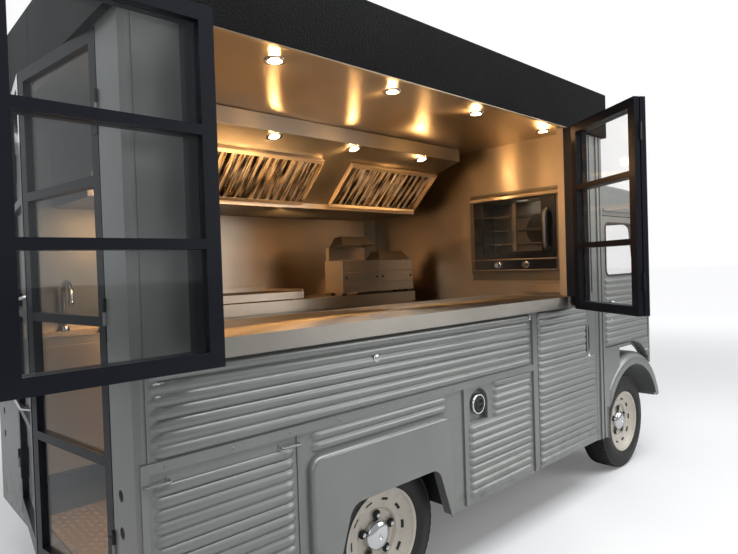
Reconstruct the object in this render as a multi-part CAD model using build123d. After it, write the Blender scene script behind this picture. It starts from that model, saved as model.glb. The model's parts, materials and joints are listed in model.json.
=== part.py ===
from build123d import *
import math
import os

# A short-wheelbase ribbed delivery van rebuilt as a food truck, in millimetres.
# Drawing frame: X from the rear face to the nose, Y to the vehicle's left, Z up from the road.

# Driving sizes
BODY_HALF = 985.0
WHEELBASE = 2530.0
REAR_HUB_X = 1110.0
FRONT_HUB_X = REAR_HUB_X + WHEELBASE
HUB_Z = 343.0
SILL_Z = 344.0
FLOOR_TOP_Z = 400.0
BELT_Z = 935.0
WALL_TOP_Z = 2400.0

# Body
WALL = 42.0
INNER_HALF = BODY_HALF - WALL
BELT_HIGH = 34.0
BELT_OUT = 9.0
CORNER_X = 36.0
PILLAR_FRONT_X = FRONT_HUB_X - 440.0
PILLAR_REAR_X = PILLAR_FRONT_X - 137.0
SHEET = 5.0
FLOOR_THICK = 28.0

# Pressed ribs
RIB_PITCH = 41.0
RIB_WIDE = 24.0
RIB_HIGH = 6.0
RIB_SLOPE = 45.0
RIB_MARGIN = 40.0

# Wheels
TYRE_RADIUS = HUB_Z
TYRE_WIDE = 190.0
TRACK_HALF = BODY_HALF - 163.0
RIM_RADIUS = 218.0
RIM_SEAT = 205.0
KINGPIN_Y = TRACK_HALF - 94.0
SPINDLE_RADIUS = 25.0
BEARING_GAP = 0.05

# Serving hatch in the right wall
HATCH_REAR_X = 234.0
HATCH_FRONT_X = PILLAR_FRONT_X - 510.0
COUNTER_LOW_Z = 1271.0
COUNTER_TOP_Z = COUNTER_LOW_Z + 67.0
COUNTER_OUT = 45.0
COUNTER_DEEP = 620.0
HATCH_TOP_Z = WALL_TOP_Z - 15.0
LEAF_LOW_Z = COUNTER_LOW_Z - 9.0
LEAF_THICK = 30.0
LEAF_BAR = 50.0
LEAF_GAP = 6.0
LEAF_STANDOFF = 6.0
FRONT_LEAF_OPEN = 57.0

# Rear doorway
DOORWAY_RIGHT_Y = 202.0 - BODY_HALF
DOORWAY_LEFT_Y = BODY_HALF - 455.0
DOORWAY_TOP_Z = WALL_TOP_Z - 15.0
REAR_LEAF_OPEN = 7.5
REAR_LEAF_THICK = 34.0

# Roof box
FASCIA_OUT = 28.0
FASCIA_HIGH = 271.0
FASCIA_TOP_Z = WALL_TOP_Z + FASCIA_HIGH
FASCIA_REAR_X = -30.0
FASCIA_FRONT_X = PILLAR_FRONT_X + 30.0
FASCIA_THICK = 30.0

# Cab and nose
CAB_FRONT_X = FRONT_HUB_X + 320.0
DOOR_REAR_X = PILLAR_FRONT_X + 6.0
DOOR_FRONT_X = CAB_FRONT_X - 35.0
WING_RADIUS = 527.0
DOOR_LOW_Z = HUB_Z + WING_RADIUS + 85.0
DOOR_TIP_Z = DOOR_LOW_Z - 143.0
WAIST_Z = DOOR_LOW_Z + 420.0
GUTTER_Z = WAIST_Z + 515.0
CAB_ROOF_Z = GUTTER_Z + 195.0
WINDSCREEN_TOP_X = CAB_FRONT_X - 98.0
NOSE_TIP_X = CAB_FRONT_X + 305.0
NOSE_HALF = 430.0
NOSE_LOW_Z = 640.0
BONNET_REAR_Z = WAIST_Z - 45.0
BONNET_FRONT_Z = BONNET_REAR_Z - 245.0
GLASS_THICK = 5.0
SEAT = 0.3
ARC_X = FRONT_HUB_X - 40.0
ARC_RADIUS = WING_RADIUS - 124.0
WING_REAR_X = FRONT_HUB_X - 418.0
WING_SHOULDER = 55.0
WING_OUT = 8.0
WING_LOW_Z = 322.0
WING_FRONT_Z = HUB_Z + 135.0
WING_OPENING = 435.0
WING_LEG = 20.0

# Kitchen
KITCHEN_FRONT_X = PILLAR_FRONT_X - 300.0
LINE_FRONT_Y = INNER_HALF - 593.0
WORKTOP_Z = FLOOR_TOP_Z + 840.0
HOOD_LIP_Z = WALL_TOP_Z - 442.0
FRYER_LONG = 880.0
FRYER_X = (KITCHEN_FRONT_X - 160.0 - FRYER_LONG, KITCHEN_FRONT_X - 160.0)
WORKTOP_X = (620.0, FRYER_X[0] - 60.0)
GRIDDLE_X = (WORKTOP_X[1] - 900.0, WORKTOP_X[1] - 150.0)
SINK_X = (60.0, WORKTOP_X[0] - 20.0)

# Hinges: two barrels in line, one on each piece
BARREL_RADIUS = 7.0
BARREL_LENGTH = 45.0
BARREL_GAP = 0.3

PARTS = {}
LEFT = 1.0
RIGHT = -1.0


def block(x, y, z):
    """A box between two values on each axis."""
    size = [abs(pair[1] - pair[0]) for pair in (x, y, z)]
    middle = [(pair[0] + pair[1]) / 2.0 for pair in (x, y, z)]
    return Pos(*middle) * Box(*size)


def span(side, inner, outer):
    """Two distances from the middle line, as Y values in rising order."""
    return sorted((side * inner, side * outer))


def drum(x, y, z, radius, length):
    """A cylinder lying across the vehicle, centred on x, y, z."""
    return Pos(x, y, z) * Rot(90, 0, 0) * Cylinder(radius, length)


def plate_xz(points, y_low, y_high):
    """An outline drawn in the side view, extruded across the vehicle."""
    wire = Polyline(*[(x, y_low, z) for x, z in points], close=True)
    return extrude(make_face(wire), amount=y_high - y_low, dir=(0, 1, 0))


def plate_yz(points, x_low, x_high):
    """An outline drawn in the end view, extruded along the vehicle."""
    wire = Polyline(*[(x_low, y, z) for y, z in points], close=True)
    return extrude(make_face(wire), amount=x_high - x_low, dir=(1, 0, 0))


def plate_xy(points, z_low, z_high):
    """An outline drawn in plan, extruded upwards."""
    wire = Polyline(*[(x, y, z_low) for x, y in points], close=True)
    return extrude(make_face(wire), amount=z_high - z_low, dir=(0, 0, 1))


def barrel(point, direction, start, length, radius):
    """A cylinder along a hinge's axis, from start to start + length."""
    plane = Plane(origin=point, z_dir=direction)
    return plane * Pos(0, 0, start + length / 2.0) * Cylinder(radius, length)


def hinge(fixed, moving, point, direction, starts):
    """Puts a barrel on each of two pieces at every place, and relieves each piece round the other's barrel."""
    for start in starts:
        upper = start + BARREL_LENGTH + BARREL_GAP
        relief = BARREL_RADIUS + 1.5
        fixed -= barrel(point, direction, upper - BARREL_GAP, BARREL_LENGTH + 2 * BARREL_GAP, relief)
        moving -= barrel(point, direction, start - BARREL_GAP, BARREL_LENGTH + 2 * BARREL_GAP, relief)
        fixed += barrel(point, direction, start, BARREL_LENGTH, BARREL_RADIUS)
        moving += barrel(point, direction, upper, BARREL_LENGTH, BARREL_RADIUS)
    return fixed, moving


def rib(x_low, x_high, z, side):
    """One pressed rib with sloping sides and ends on a side skin."""
    plane = Plane(origin=((x_low + x_high) / 2.0, side * BODY_HALF, z), x_dir=(1, 0, 0), z_dir=(0, side, 0))
    outline = plane * Rectangle(x_high - x_low, RIB_WIDE)
    return extrude(outline, amount=RIB_HIGH, taper=RIB_SLOPE)


def ridge_section(middle, level, out):
    """The section of a straight pressed ridge, as middle and level pairs, rising by out."""
    foot, crest = RIB_WIDE / 2.0, RIB_WIDE / 2.0 - abs(out)
    return [(middle - foot, level - out / 8.0), (middle - foot, level), (middle - crest, level + out),
            (middle + crest, level + out), (middle + foot, level), (middle + foot, level - out / 8.0)]


def ribs(x_low, x_high, z_low, z_high, side):
    """As many ribs as fit between two heights."""
    count = int((z_high - z_low - RIB_WIDE) // RIB_PITCH) + 1
    first = (z_low + z_high - (count - 1) * RIB_PITCH) / 2.0
    return [rib(x_low, x_high, first + n * RIB_PITCH, side) for n in range(count)]


# Floor, rails and wheel boxes
RAIL_Y = BODY_HALF - 485.0
RAIL_WIDE = 70.0
RAIL_LOW_Z = FLOOR_TOP_Z - 110.0
WHEEL_BOX_Y = RAIL_Y + 140.0
WHEEL_BOX_X = (REAR_HUB_X - 400.0, REAR_HUB_X + 400.0)
WHEEL_BOX_TOP_Z = FLOOR_TOP_Z + 400.0
FLOOR_LOW_Z = FLOOR_TOP_Z - FLOOR_THICK
FOOTWELL_HALF = RAIL_Y + 40.0
TOEBOARD_X = FRONT_HUB_X + 60.0
RAIL_END_X = FRONT_HUB_X - 260.0
CROSSMEMBERS_X = (90.0, REAR_HUB_X + 590.0, PILLAR_FRONT_X - 700.0, PILLAR_FRONT_X - 60.0)
CROSSMEMBER_LOW_Z = RAIL_LOW_Z + 40.0


def make_floor():
    """One floor sheet, notched for the rear wheels, on two rails and four crossmembers."""
    right = [(CORNER_X, -INNER_HALF), (WHEEL_BOX_X[0], -INNER_HALF), (WHEEL_BOX_X[0], -WHEEL_BOX_Y),
             (WHEEL_BOX_X[1], -WHEEL_BOX_Y), (WHEEL_BOX_X[1], -INNER_HALF), (PILLAR_FRONT_X, -INNER_HALF),
             (PILLAR_FRONT_X, -FOOTWELL_HALF), (TOEBOARD_X, -FOOTWELL_HALF)]
    left = [(x, -y) for x, y in reversed(right)]
    floor = plate_xy(right + left, FLOOR_LOW_Z, FLOOR_TOP_Z)
    for side in (RIGHT, LEFT):
        middle = side * RAIL_Y
        floor += block((CORNER_X + 30, RAIL_END_X), (middle - RAIL_WIDE / 2, middle + RAIL_WIDE / 2), (RAIL_LOW_Z, FLOOR_LOW_Z))
    for x in CROSSMEMBERS_X:
        floor += block((x - 30, x + 30), (-INNER_HALF + 40, INNER_HALF - 40), (CROSSMEMBER_LOW_Z, FLOOR_LOW_Z))
    return floor + wheel_box(RIGHT) + wheel_box(LEFT)


def wheel_box(side):
    """A sheet box over one rear wheel, open below and on the outside."""
    inner, outer = WHEEL_BOX_Y, INNER_HALF
    x_low, x_high = WHEEL_BOX_X
    box = block((x_low, x_high), (side * inner, side * outer), (FLOOR_LOW_Z, WHEEL_BOX_TOP_Z))
    hollow = block((x_low + SHEET, x_high - SHEET), (side * (inner + SHEET), side * (outer + 1)),
                   (FLOOR_LOW_Z - 1, WHEEL_BOX_TOP_Z - SHEET))
    return box - hollow


# Rear axle: a cross tube under the floor with an arm back to each wheel
AXLE_TUBE_X = WHEEL_BOX_X[1] + 70.0
AXLE_TUBE_RADIUS = 42.0
AXLE_TUBE_Z = RAIL_LOW_Z - AXLE_TUBE_RADIUS - 8.0
ARM_Y = (WHEEL_BOX_Y + 28.0, WHEEL_BOX_Y + 66.0)


def make_spindle(x, side, inner_y, outer_y):
    """A stub axle with a shoulder that stops inside the wheel."""
    length = outer_y - inner_y
    return drum(x, side * (inner_y + outer_y) / 2.0, HUB_Z, SPINDLE_RADIUS, length)


def make_rear_axle():
    axle = drum(AXLE_TUBE_X, 0, AXLE_TUBE_Z, AXLE_TUBE_RADIUS, 2 * ARM_Y[0])
    for side in (RIGHT, LEFT):
        foot_y = side * RAIL_Y
        axle += block((AXLE_TUBE_X - 60, AXLE_TUBE_X + 60), (foot_y - 25, foot_y + 25), (AXLE_TUBE_Z, RAIL_LOW_Z))
        arm = [(REAR_HUB_X - 55, HUB_Z - 45), (REAR_HUB_X - 55, HUB_Z + 45), (REAR_HUB_X + 40, HUB_Z + 55),
               (AXLE_TUBE_X + 50, AXLE_TUBE_Z + 48), (AXLE_TUBE_X + 50, AXLE_TUBE_Z - 48)]
        axle += plate_xz(arm, *sorted((side * ARM_Y[0], side * ARM_Y[1])))
        axle += make_spindle(REAR_HUB_X, side, ARM_Y[0], TRACK_HALF + 40)
    return axle


# Wheels
HUB_RADIUS = 70.0
STUD_CIRCLE = 92.0
STUDS = 5


def wheel_section(points, side, x):
    """Turns a half section (radius, distance outwards from the wheel's middle) about the axle."""
    wire = Polyline(*[(x, side * (TRACK_HALF + out), HUB_Z + radius) for radius, out in points], close=True)
    return revolve(make_face(wire), axis=Axis((x, 0, HUB_Z), (0, 1, 0)), revolution_arc=360)


def make_tyre(x, side):
    half = TYRE_WIDE / 2.0
    section = [(RIM_SEAT, half - 20), (TYRE_RADIUS - 40, half), (TYRE_RADIUS, half - 24),
               (TYRE_RADIUS, 24 - half), (TYRE_RADIUS - 40, -half), (RIM_SEAT, 20 - half)]
    return wheel_section(section, side, x)


def make_rim(x, side):
    """A pressed wheel: rim, dished disc, hub with a bore, and a domed cap."""
    edge = TYRE_WIDE / 2.0 - 18
    well = RIM_SEAT - 20
    bore = SPINDLE_RADIUS + BEARING_GAP
    section = [(RIM_SEAT, edge), (RIM_RADIUS, edge + 2), (RIM_RADIUS, edge + 9), (well, edge - 12), (150, 48), (124, 48),
               (112, 36), (HUB_RADIUS, 36), (52, 60), (0.01, 62), (0.01, 41), (bore, 41), (bore, -12), (HUB_RADIUS, -12),
               (HUB_RADIUS, 26), (146, 38), (well, 14), (well, 12 - edge), (RIM_RADIUS, -edge - 9), (RIM_SEAT, -edge)]
    wheel = wheel_section(section, side, x)
    for n in range(STUDS):
        angle = 2 * math.pi * n / STUDS + 0.3
        wheel += drum(x + STUD_CIRCLE * math.cos(angle), side * (TRACK_HALF + 42), HUB_Z + STUD_CIRCLE * math.sin(angle), 11, 16)
    return wheel


# Front suspension
CRADLE_X = (FRONT_HUB_X - 240.0, FRONT_HUB_X + 250.0)
ARM_LOW_Z = HUB_Z - 103.0
ARM_HIGH_Z = HUB_Z + 112.0
ARM_THICK = 26.0
PIN_RADIUS = 14.0
PIN_EYE = 34.0


def make_knuckle(side):
    """An upright turning on two kingpins, with the stub axle that carries the wheel."""
    y = side * KINGPIN_Y
    upright = block((FRONT_HUB_X - 38, FRONT_HUB_X + 38), (y - 24, y + 24), (ARM_LOW_Z + ARM_THICK / 2 + LEAF_GAP, ARM_HIGH_Z - ARM_THICK / 2 - LEAF_GAP))
    pins = Pos(FRONT_HUB_X, y, (ARM_LOW_Z + ARM_HIGH_Z) / 2) * Cylinder(PIN_RADIUS, ARM_HIGH_Z - ARM_LOW_Z + ARM_THICK)
    return upright + pins + make_spindle(FRONT_HUB_X, side, KINGPIN_Y, TRACK_HALF + 40)


SUBFRAME_Y = RAIL_Y - RAIL_WIDE / 2.0 - 28.0
ARCH_PLATE_Y = FOOTWELL_HALF + 6.0


def make_front_subframe():
    """Two rails and two cross tubes, with an upper and a lower arm out to each kingpin."""
    frame = None
    for x in CRADLE_X:
        tube = block((x - 30, x + 30), (-SUBFRAME_Y, SUBFRAME_Y), (ARM_LOW_Z + 10, ARM_LOW_Z + 60))
        frame = tube if frame is None else frame + tube
    for side in (RIGHT, LEFT):
        root = side * SUBFRAME_Y
        eye_y = side * KINGPIN_Y
        frame += block((RAIL_END_X - 120, CRADLE_X[1] + 30), (root - 28, root + 28), (ARM_LOW_Z, FLOOR_LOW_Z))
        bracket_y = span(side, ARCH_PLATE_Y, ARCH_PLATE_Y + 12)
        frame += block((FRONT_HUB_X - 70, FRONT_HUB_X + 70), bracket_y, (ARM_LOW_Z, ARM_HIGH_Z + ARM_THICK / 2))
        for z, y_root, half in ((ARM_LOW_Z, root, 160), (ARM_HIGH_Z, side * ARCH_PLATE_Y, 70)):
            arm = plate_xy([(FRONT_HUB_X - half, y_root), (FRONT_HUB_X - 28, eye_y - side * 10), (FRONT_HUB_X + 28, eye_y - side * 10),
                            (FRONT_HUB_X + half, y_root)], z - ARM_THICK / 2, z + ARM_THICK / 2)
            arm += Pos(FRONT_HUB_X, eye_y, z) * Cylinder(PIN_EYE, ARM_THICK)
            arm -= Pos(FRONT_HUB_X, eye_y, z) * Cylinder(PIN_RADIUS + BEARING_GAP, ARM_THICK + 2)
            frame += arm
    return frame


# Body walls
MUDGUARD_X = (REAR_HUB_X - 460.0, REAR_HUB_X + 390.0)
MUDGUARD_TOP_Z = BELT_Z - 100.0
MUDGUARD_OUT = 27.0
ARCH_MIDDLE_X = REAR_HUB_X + 10.0
ARCH_TOP_HALF = 270.0
ARCH_LOW_HALF = 372.0
ARCH_TOP_Z = HUB_Z + 259.0
STRIP_X = MUDGUARD_X[1] + 112.0
STRIP_WIDE = 26.0
FILLER_X = (STRIP_X + 55.0, STRIP_X + 208.0)
FILLER_Z = (BELT_Z - 182.0, BELT_Z - 15.0)
FILLER_DEEP = 28.0
FILLER_CAP_Z = BELT_Z - 97.0
CAP_RADIUS = 36.0
CAP_OUT = 22.0
PILLAR_RIDGES_X = (PILLAR_FRONT_X - 92.0, PILLAR_FRONT_X - 44.0)
RIDGE_WIDE = 30.0
RIDGE_OUT = 8.0
CORNER_RIDGE_X = 12.0
REAR_PANEL_X = 600.0
POST_RIDGES_X = (PILLAR_REAR_X - 100.0, PILLAR_REAR_X - 50.0)
EDGE_WIDE = 5.0
HANDLE_X = PILLAR_REAR_X - 123.0
HANDLE_Z = (BELT_Z + 21.0, BELT_Z + 197.0)
HANDLE_WIDE = 62.0
HANDLE_DEEP = 20.0
LAMP_HOLE_RADIUS = 20.0
LAMP_HOLES = ((BODY_HALF - 131.0, BELT_Z - 89.0), (BODY_HALF - 131.0, BELT_Z - 211.0))
SLIDE_REAR_X = PILLAR_REAR_X - 738.0
TRIM_X = SLIDE_REAR_X - 63.0


def arch_prism(y_low, y_high, grow=0.0):
    """The rear wheel cut-out: a trapezoid with a level top and rounded corners."""
    points = [(ARCH_MIDDLE_X - ARCH_LOW_HALF - grow, SILL_Z - 40), (ARCH_MIDDLE_X - ARCH_TOP_HALF - grow, ARCH_TOP_Z + grow),
              (ARCH_MIDDLE_X + ARCH_TOP_HALF + grow, ARCH_TOP_Z + grow), (ARCH_MIDDLE_X + ARCH_LOW_HALF + grow, SILL_Z - 40)]
    solid = plate_xz(points, y_low, y_high)
    top = [e for e in solid.edges().filter_by(Axis.Y) if e.center().Z > ARCH_TOP_Z - 10]
    return fillet(top, 70)


def make_left_side():
    """The closed left wall, ribbed above and below the belt rail."""
    wall = block((CORNER_X, PILLAR_FRONT_X), span(LEFT, INNER_HALF, BODY_HALF), (SILL_Z, WALL_TOP_Z))
    wall -= arch_prism(INNER_HALF - 5, BODY_HALF + 5, 18)
    wall += block((CORNER_X, PILLAR_REAR_X), span(LEFT, BODY_HALF - 1, BODY_HALF + BELT_OUT), (BELT_Z, BELT_Z + BELT_HIGH))
    rows = []
    for x_low, x_high, z_low, z_high in (
            (CORNER_X, MUDGUARD_X[0], SILL_Z + 20, BELT_Z), (MUDGUARD_X[0], MUDGUARD_X[1], MUDGUARD_TOP_Z + 4, BELT_Z),
            (MUDGUARD_X[1], PILLAR_REAR_X, SILL_Z + 20, BELT_Z), (CORNER_X, PILLAR_REAR_X, BELT_Z + BELT_HIGH, WALL_TOP_Z - 30)):
        rows += ribs(x_low + RIB_MARGIN, x_high - RIB_MARGIN, z_low, z_high, LEFT)
    wall += block((CORNER_X, CORNER_X + EDGE_WIDE), span(LEFT, BODY_HALF - 1, BODY_HALF + EDGE_WIDE), (BELT_Z, WALL_TOP_Z - 20))
    return wall + rows + pillar_ridges(LEFT)


def make_right_side():
    """The right wall: the low panels under the counter and the posts each side of the hatch."""
    low = [(CORNER_X, SILL_Z), (SLIDE_REAR_X, SILL_Z), (SLIDE_REAR_X, COUNTER_LOW_Z - LEAF_GAP), (HATCH_REAR_X, COUNTER_LOW_Z - LEAF_GAP),
           (HATCH_REAR_X, WALL_TOP_Z), (CORNER_X, WALL_TOP_Z)]
    wall = plate_xz(low, -BODY_HALF, -INNER_HALF)
    wall -= arch_prism(-BODY_HALF - 5, -INNER_HALF + 5, 18)
    wall += block((CORNER_X, SLIDE_REAR_X - 30), span(RIGHT, BODY_HALF - 1, BODY_HALF + BELT_OUT), (BELT_Z, BELT_Z + BELT_HIGH))
    wall += block((CORNER_X, CORNER_X + EDGE_WIDE), span(RIGHT, BODY_HALF - 1, BODY_HALF + EDGE_WIDE), (BELT_Z, WALL_TOP_Z - 20))
    for x, z_high in ((STRIP_X, BELT_Z), (TRIM_X, COUNTER_LOW_Z - 30)):
        wall += block((x, x + STRIP_WIDE), span(RIGHT, BODY_HALF - 1, BODY_HALF + BELT_OUT), (SILL_Z + 8, z_high))
    flange_y = span(RIGHT, BODY_HALF - 1, BODY_HALF + EDGE_WIDE)
    wall += block((REAR_PANEL_X, REAR_PANEL_X + EDGE_WIDE), flange_y, (SILL_Z + 8, BELT_Z + 1))
    rows = []
    for x_low, x_high, z_low, z_high in (
            (CORNER_X, REAR_PANEL_X, SILL_Z + 20, BELT_Z - RIB_PITCH), (MUDGUARD_X[0], MUDGUARD_X[1], MUDGUARD_TOP_Z + 4, BELT_Z),
            (STRIP_X + STRIP_WIDE, TRIM_X, SILL_Z + 20, FILLER_Z[0] - 8), (FILLER_X[1] + 32, TRIM_X, FILLER_Z[0] - 8, BELT_Z),
            (CORNER_X, TRIM_X, BELT_Z + BELT_HIGH, COUNTER_LOW_Z - 8)):
        rows += ribs(x_low + RIB_MARGIN, x_high - RIB_MARGIN, z_low, z_high, RIGHT)
    post = [(HATCH_FRONT_X, COUNTER_LOW_Z - LEAF_GAP), (PILLAR_REAR_X, COUNTER_LOW_Z - LEAF_GAP), (PILLAR_REAR_X, SILL_Z),
            (PILLAR_FRONT_X, SILL_Z), (PILLAR_FRONT_X, WALL_TOP_Z), (HATCH_FRONT_X, WALL_TOP_Z)]
    front_post = plate_xz(post, -BODY_HALF, -INNER_HALF) + pillar_ridges(RIGHT)
    for x in POST_RIDGES_X:
        ridge_y = span(RIGHT, BODY_HALF - 1, BODY_HALF + RIDGE_OUT)
        front_post += block((x, x + RIDGE_WIDE), ridge_y, (COUNTER_TOP_Z + LEAF_GAP, HATCH_TOP_Z - 8))
    return Compound([(wall + rows) - filler_recess() + filler_cap(), front_post])


def pillar_ridges(side):
    """Two upright ridges pressed in the pillar behind the cab door."""
    ridges = []
    for x in PILLAR_RIDGES_X:
        ridges.append(block((x, x + RIDGE_WIDE), span(side, BODY_HALF - 1, BODY_HALF + RIDGE_OUT), (SILL_Z, HATCH_TOP_Z - 8)))
    return ridges


def filler_recess():
    """The recess for the fuel filler: an upright slot with an arched top."""
    middle = (FILLER_X[0] + FILLER_X[1]) / 2.0
    half = (FILLER_X[1] - FILLER_X[0]) / 2.0
    depth = span(RIGHT, BODY_HALF - FILLER_DEEP, BODY_HALF + RIB_HIGH + 2)
    recess = block(FILLER_X, depth, (FILLER_Z[0], FILLER_Z[1] - half))
    arch = drum(middle, (depth[0] + depth[1]) / 2.0, FILLER_Z[1] - half, half, depth[1] - depth[0])
    return recess + arch


def filler_cap():
    """The round cap on the filler neck, standing from the back of the recess."""
    middle = (FILLER_X[0] + FILLER_X[1]) / 2.0
    back = -(BODY_HALF - FILLER_DEEP)
    return drum(middle, back - CAP_OUT / 2.0 + 1, FILLER_CAP_Z, CAP_RADIUS, CAP_OUT + 2)


def make_sliding_door():
    """The lower part of the side door, fixed shut under the counter."""
    door = block((SLIDE_REAR_X + 4, PILLAR_REAR_X - 4), (-BODY_HALF, -INNER_HALF), (SILL_Z + 4, COUNTER_LOW_Z - LEAF_GAP - 4))
    count = int((COUNTER_LOW_Z - SILL_Z - 40 - RIB_WIDE) // RIB_PITCH) + 1
    first = (SILL_Z + COUNTER_LOW_Z + 8 - (count - 1) * RIB_PITCH) / 2.0
    for n in range(count):
        z = first + n * RIB_PITCH
        end = PILLAR_REAR_X - (150 if z > HANDLE_Z[0] - RIB_PITCH else 48)
        door += rib(SLIDE_REAR_X + 30, end, z, RIGHT)
    plane = Plane(origin=(HANDLE_X, -BODY_HALF + HANDLE_DEEP, (HANDLE_Z[0] + HANDLE_Z[1]) / 2.0), x_dir=(0, 0, 1), z_dir=(0, -1, 0))
    oval = plane * SlotOverall(HANDLE_Z[1] - HANDLE_Z[0], HANDLE_WIDE)
    door -= extrude(oval, amount=HANDLE_DEEP + 5)
    grip = block((HANDLE_X - 9, HANDLE_X + 9), (-BODY_HALF - 2, -BODY_HALF + 12), (HANDLE_Z[0] - 4, HANDLE_Z[1] + 4))
    return door + grip


def make_mudguard(side):
    """A pressed, rounded cover over the rear wheel, standing proud of the wall."""
    inner, outer = BODY_HALF, BODY_HALF + MUDGUARD_OUT
    shell = block(MUDGUARD_X, span(side, inner, outer), (SILL_Z, MUDGUARD_TOP_Z))
    corners = [e for e in shell.edges().filter_by(Axis.Y) if e.center().Z > MUDGUARD_TOP_Z - 10]
    shell = fillet(corners, 60)
    face = shell.faces().sort_by(Axis.Y)[0 if side < 0 else -1]
    rim = [e for e in face.edges() if e.center().Z > SILL_Z + 10]
    shell = fillet(rim, 18)
    hollow = block((MUDGUARD_X[0] + SHEET, MUDGUARD_X[1] - SHEET), span(side, inner - 1, outer - SHEET), (SILL_Z - 1, MUDGUARD_TOP_Z - SHEET))
    hollow = fillet([e for e in hollow.edges().filter_by(Axis.Y) if e.center().Z > MUDGUARD_TOP_Z - 10], 55)
    floor_face = hollow.faces().sort_by(Axis.Y)[0 if side < 0 else -1]
    hollow = chamfer([e for e in floor_face.edges() if e.center().Z > SILL_Z + 10], 9)
    shell -= hollow
    return shell - arch_prism(*span(side, inner - 5, outer + 5))


def make_rear_frame():
    """The rear end: a narrow right post, a wide left post, a header and a sill round the doorway."""
    frame = block((0, CORNER_X), (-BODY_HALF, BODY_HALF), (SILL_Z, WALL_TOP_Z))
    frame -= block((-5, CORNER_X + 5), (DOORWAY_RIGHT_Y, DOORWAY_LEFT_Y), (FLOOR_TOP_Z, DOORWAY_TOP_Z))
    upright = [e for e in frame.edges().filter_by(Axis.Z) if abs(abs(e.center().Y) - BODY_HALF) < 1 and e.center().X < 1]
    frame = chamfer(upright, CORNER_RIDGE_X - 2, CORNER_RIDGE_X + 10)
    for side in (RIGHT, LEFT):
        out = span(side, BODY_HALF - 1, BODY_HALF + BELT_OUT)
        frame += block((CORNER_RIDGE_X, CORNER_X), out, (SILL_Z, BELT_Z + BELT_HIGH))
        for y, z in LAMP_HOLES:
            frame -= Pos(CORNER_X / 2, side * y, z) * Rot(0, 90, 0) * Cylinder(LAMP_HOLE_RADIUS, CORNER_X + 10)
    return frame


# Roof box and ceiling
def make_roof_box():
    """A black band all round, overhanging the walls, with a flat roof on top."""
    outer_y = BODY_HALF + FASCIA_OUT
    box = block((FASCIA_REAR_X, FASCIA_FRONT_X), (-outer_y, outer_y), (WALL_TOP_Z, FASCIA_TOP_Z))
    box -= block((FASCIA_REAR_X + FASCIA_THICK, FASCIA_FRONT_X - FASCIA_THICK), (-outer_y + FASCIA_THICK, outer_y - FASCIA_THICK),
                 (WALL_TOP_Z - 1, FASCIA_TOP_Z - FASCIA_THICK))
    skirt = block((FASCIA_REAR_X, FASCIA_FRONT_X), (-outer_y, outer_y), (HATCH_TOP_Z - 3, WALL_TOP_Z))
    skirt -= block((-0.3, FASCIA_FRONT_X - FASCIA_THICK), (-BODY_HALF - 0.3, BODY_HALF + 0.3), (HATCH_TOP_Z - 5, WALL_TOP_Z + 1))
    return box + skirt


def make_ceiling():
    """The stainless ceiling, carried by the tops of the walls."""
    half = BODY_HALF + FASCIA_OUT - FASCIA_THICK - 0.3
    return block((CORNER_X, KITCHEN_FRONT_X + 25), (-half, half), (WALL_TOP_Z, WALL_TOP_Z + SHEET))


# Cab
CAB_WALL = 38.0
SKIRT_GAP_X = FRONT_HUB_X - 220.0
REBATE = 12.0
GUTTER_OUT = 14.0
CAB_GAP = 6.0
TIP_SWEEP = 20.0
CAB_HINGES_Z = (DOOR_LOW_Z + 55.0, DOOR_LOW_Z + 295.0)


def cab_outline(inset):
    """The cab in the side view, from the floor of the doors to the roof."""
    return [(PILLAR_FRONT_X, DOOR_LOW_Z - 30 + inset), (CAB_FRONT_X - inset, DOOR_LOW_Z - 30 + inset), (CAB_FRONT_X - inset, WAIST_Z),
            (WINDSCREEN_TOP_X - inset, GUTTER_Z - inset / 2), (WINDSCREEN_TOP_X - 20 - inset, CAB_ROOF_Z - 70 - inset),
            (WINDSCREEN_TOP_X - 110 - inset, CAB_ROOF_Z - inset), (PILLAR_FRONT_X, CAB_ROOF_Z + 15 - inset)]


def wing_arc(grow, y_low, y_high):
    """A round bar whose top and front the door's lower edge follows, wider by grow."""
    return drum(ARC_X, (y_low + y_high) / 2.0, DOOR_LOW_Z - ARC_RADIUS, ARC_RADIUS + grow, y_high - y_low)


def cab_skirt(side):
    """The skin below the doorway: level behind the wheel, a rebate behind the door along the wing, a post in front."""
    y_low, y_high = span(side, BODY_HALF - CAB_WALL, BODY_HALF)
    low = DOOR_LOW_Z - 30
    deep = BODY_HALF - CAB_WALL - CAB_GAP
    rebate = block((ARC_X, CAB_FRONT_X), span(side, deep - REBATE, deep), (DOOR_LOW_Z - ARC_RADIUS, low + 1))
    rebate -= wing_arc(-CAB_GAP - REBATE, *span(side, deep - REBATE - 5, deep + 5))
    post = block((DOOR_FRONT_X + CAB_GAP, CAB_FRONT_X), span(side, deep - REBATE, BODY_HALF), (DOOR_TIP_Z - 60, low + 1))
    level = block((PILLAR_FRONT_X, SKIRT_GAP_X), span(side, BODY_HALF - 20, BODY_HALF), (HUB_Z + 200, low + 1))
    return rebate + post + level - wing_solid(side, -0.5)


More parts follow.
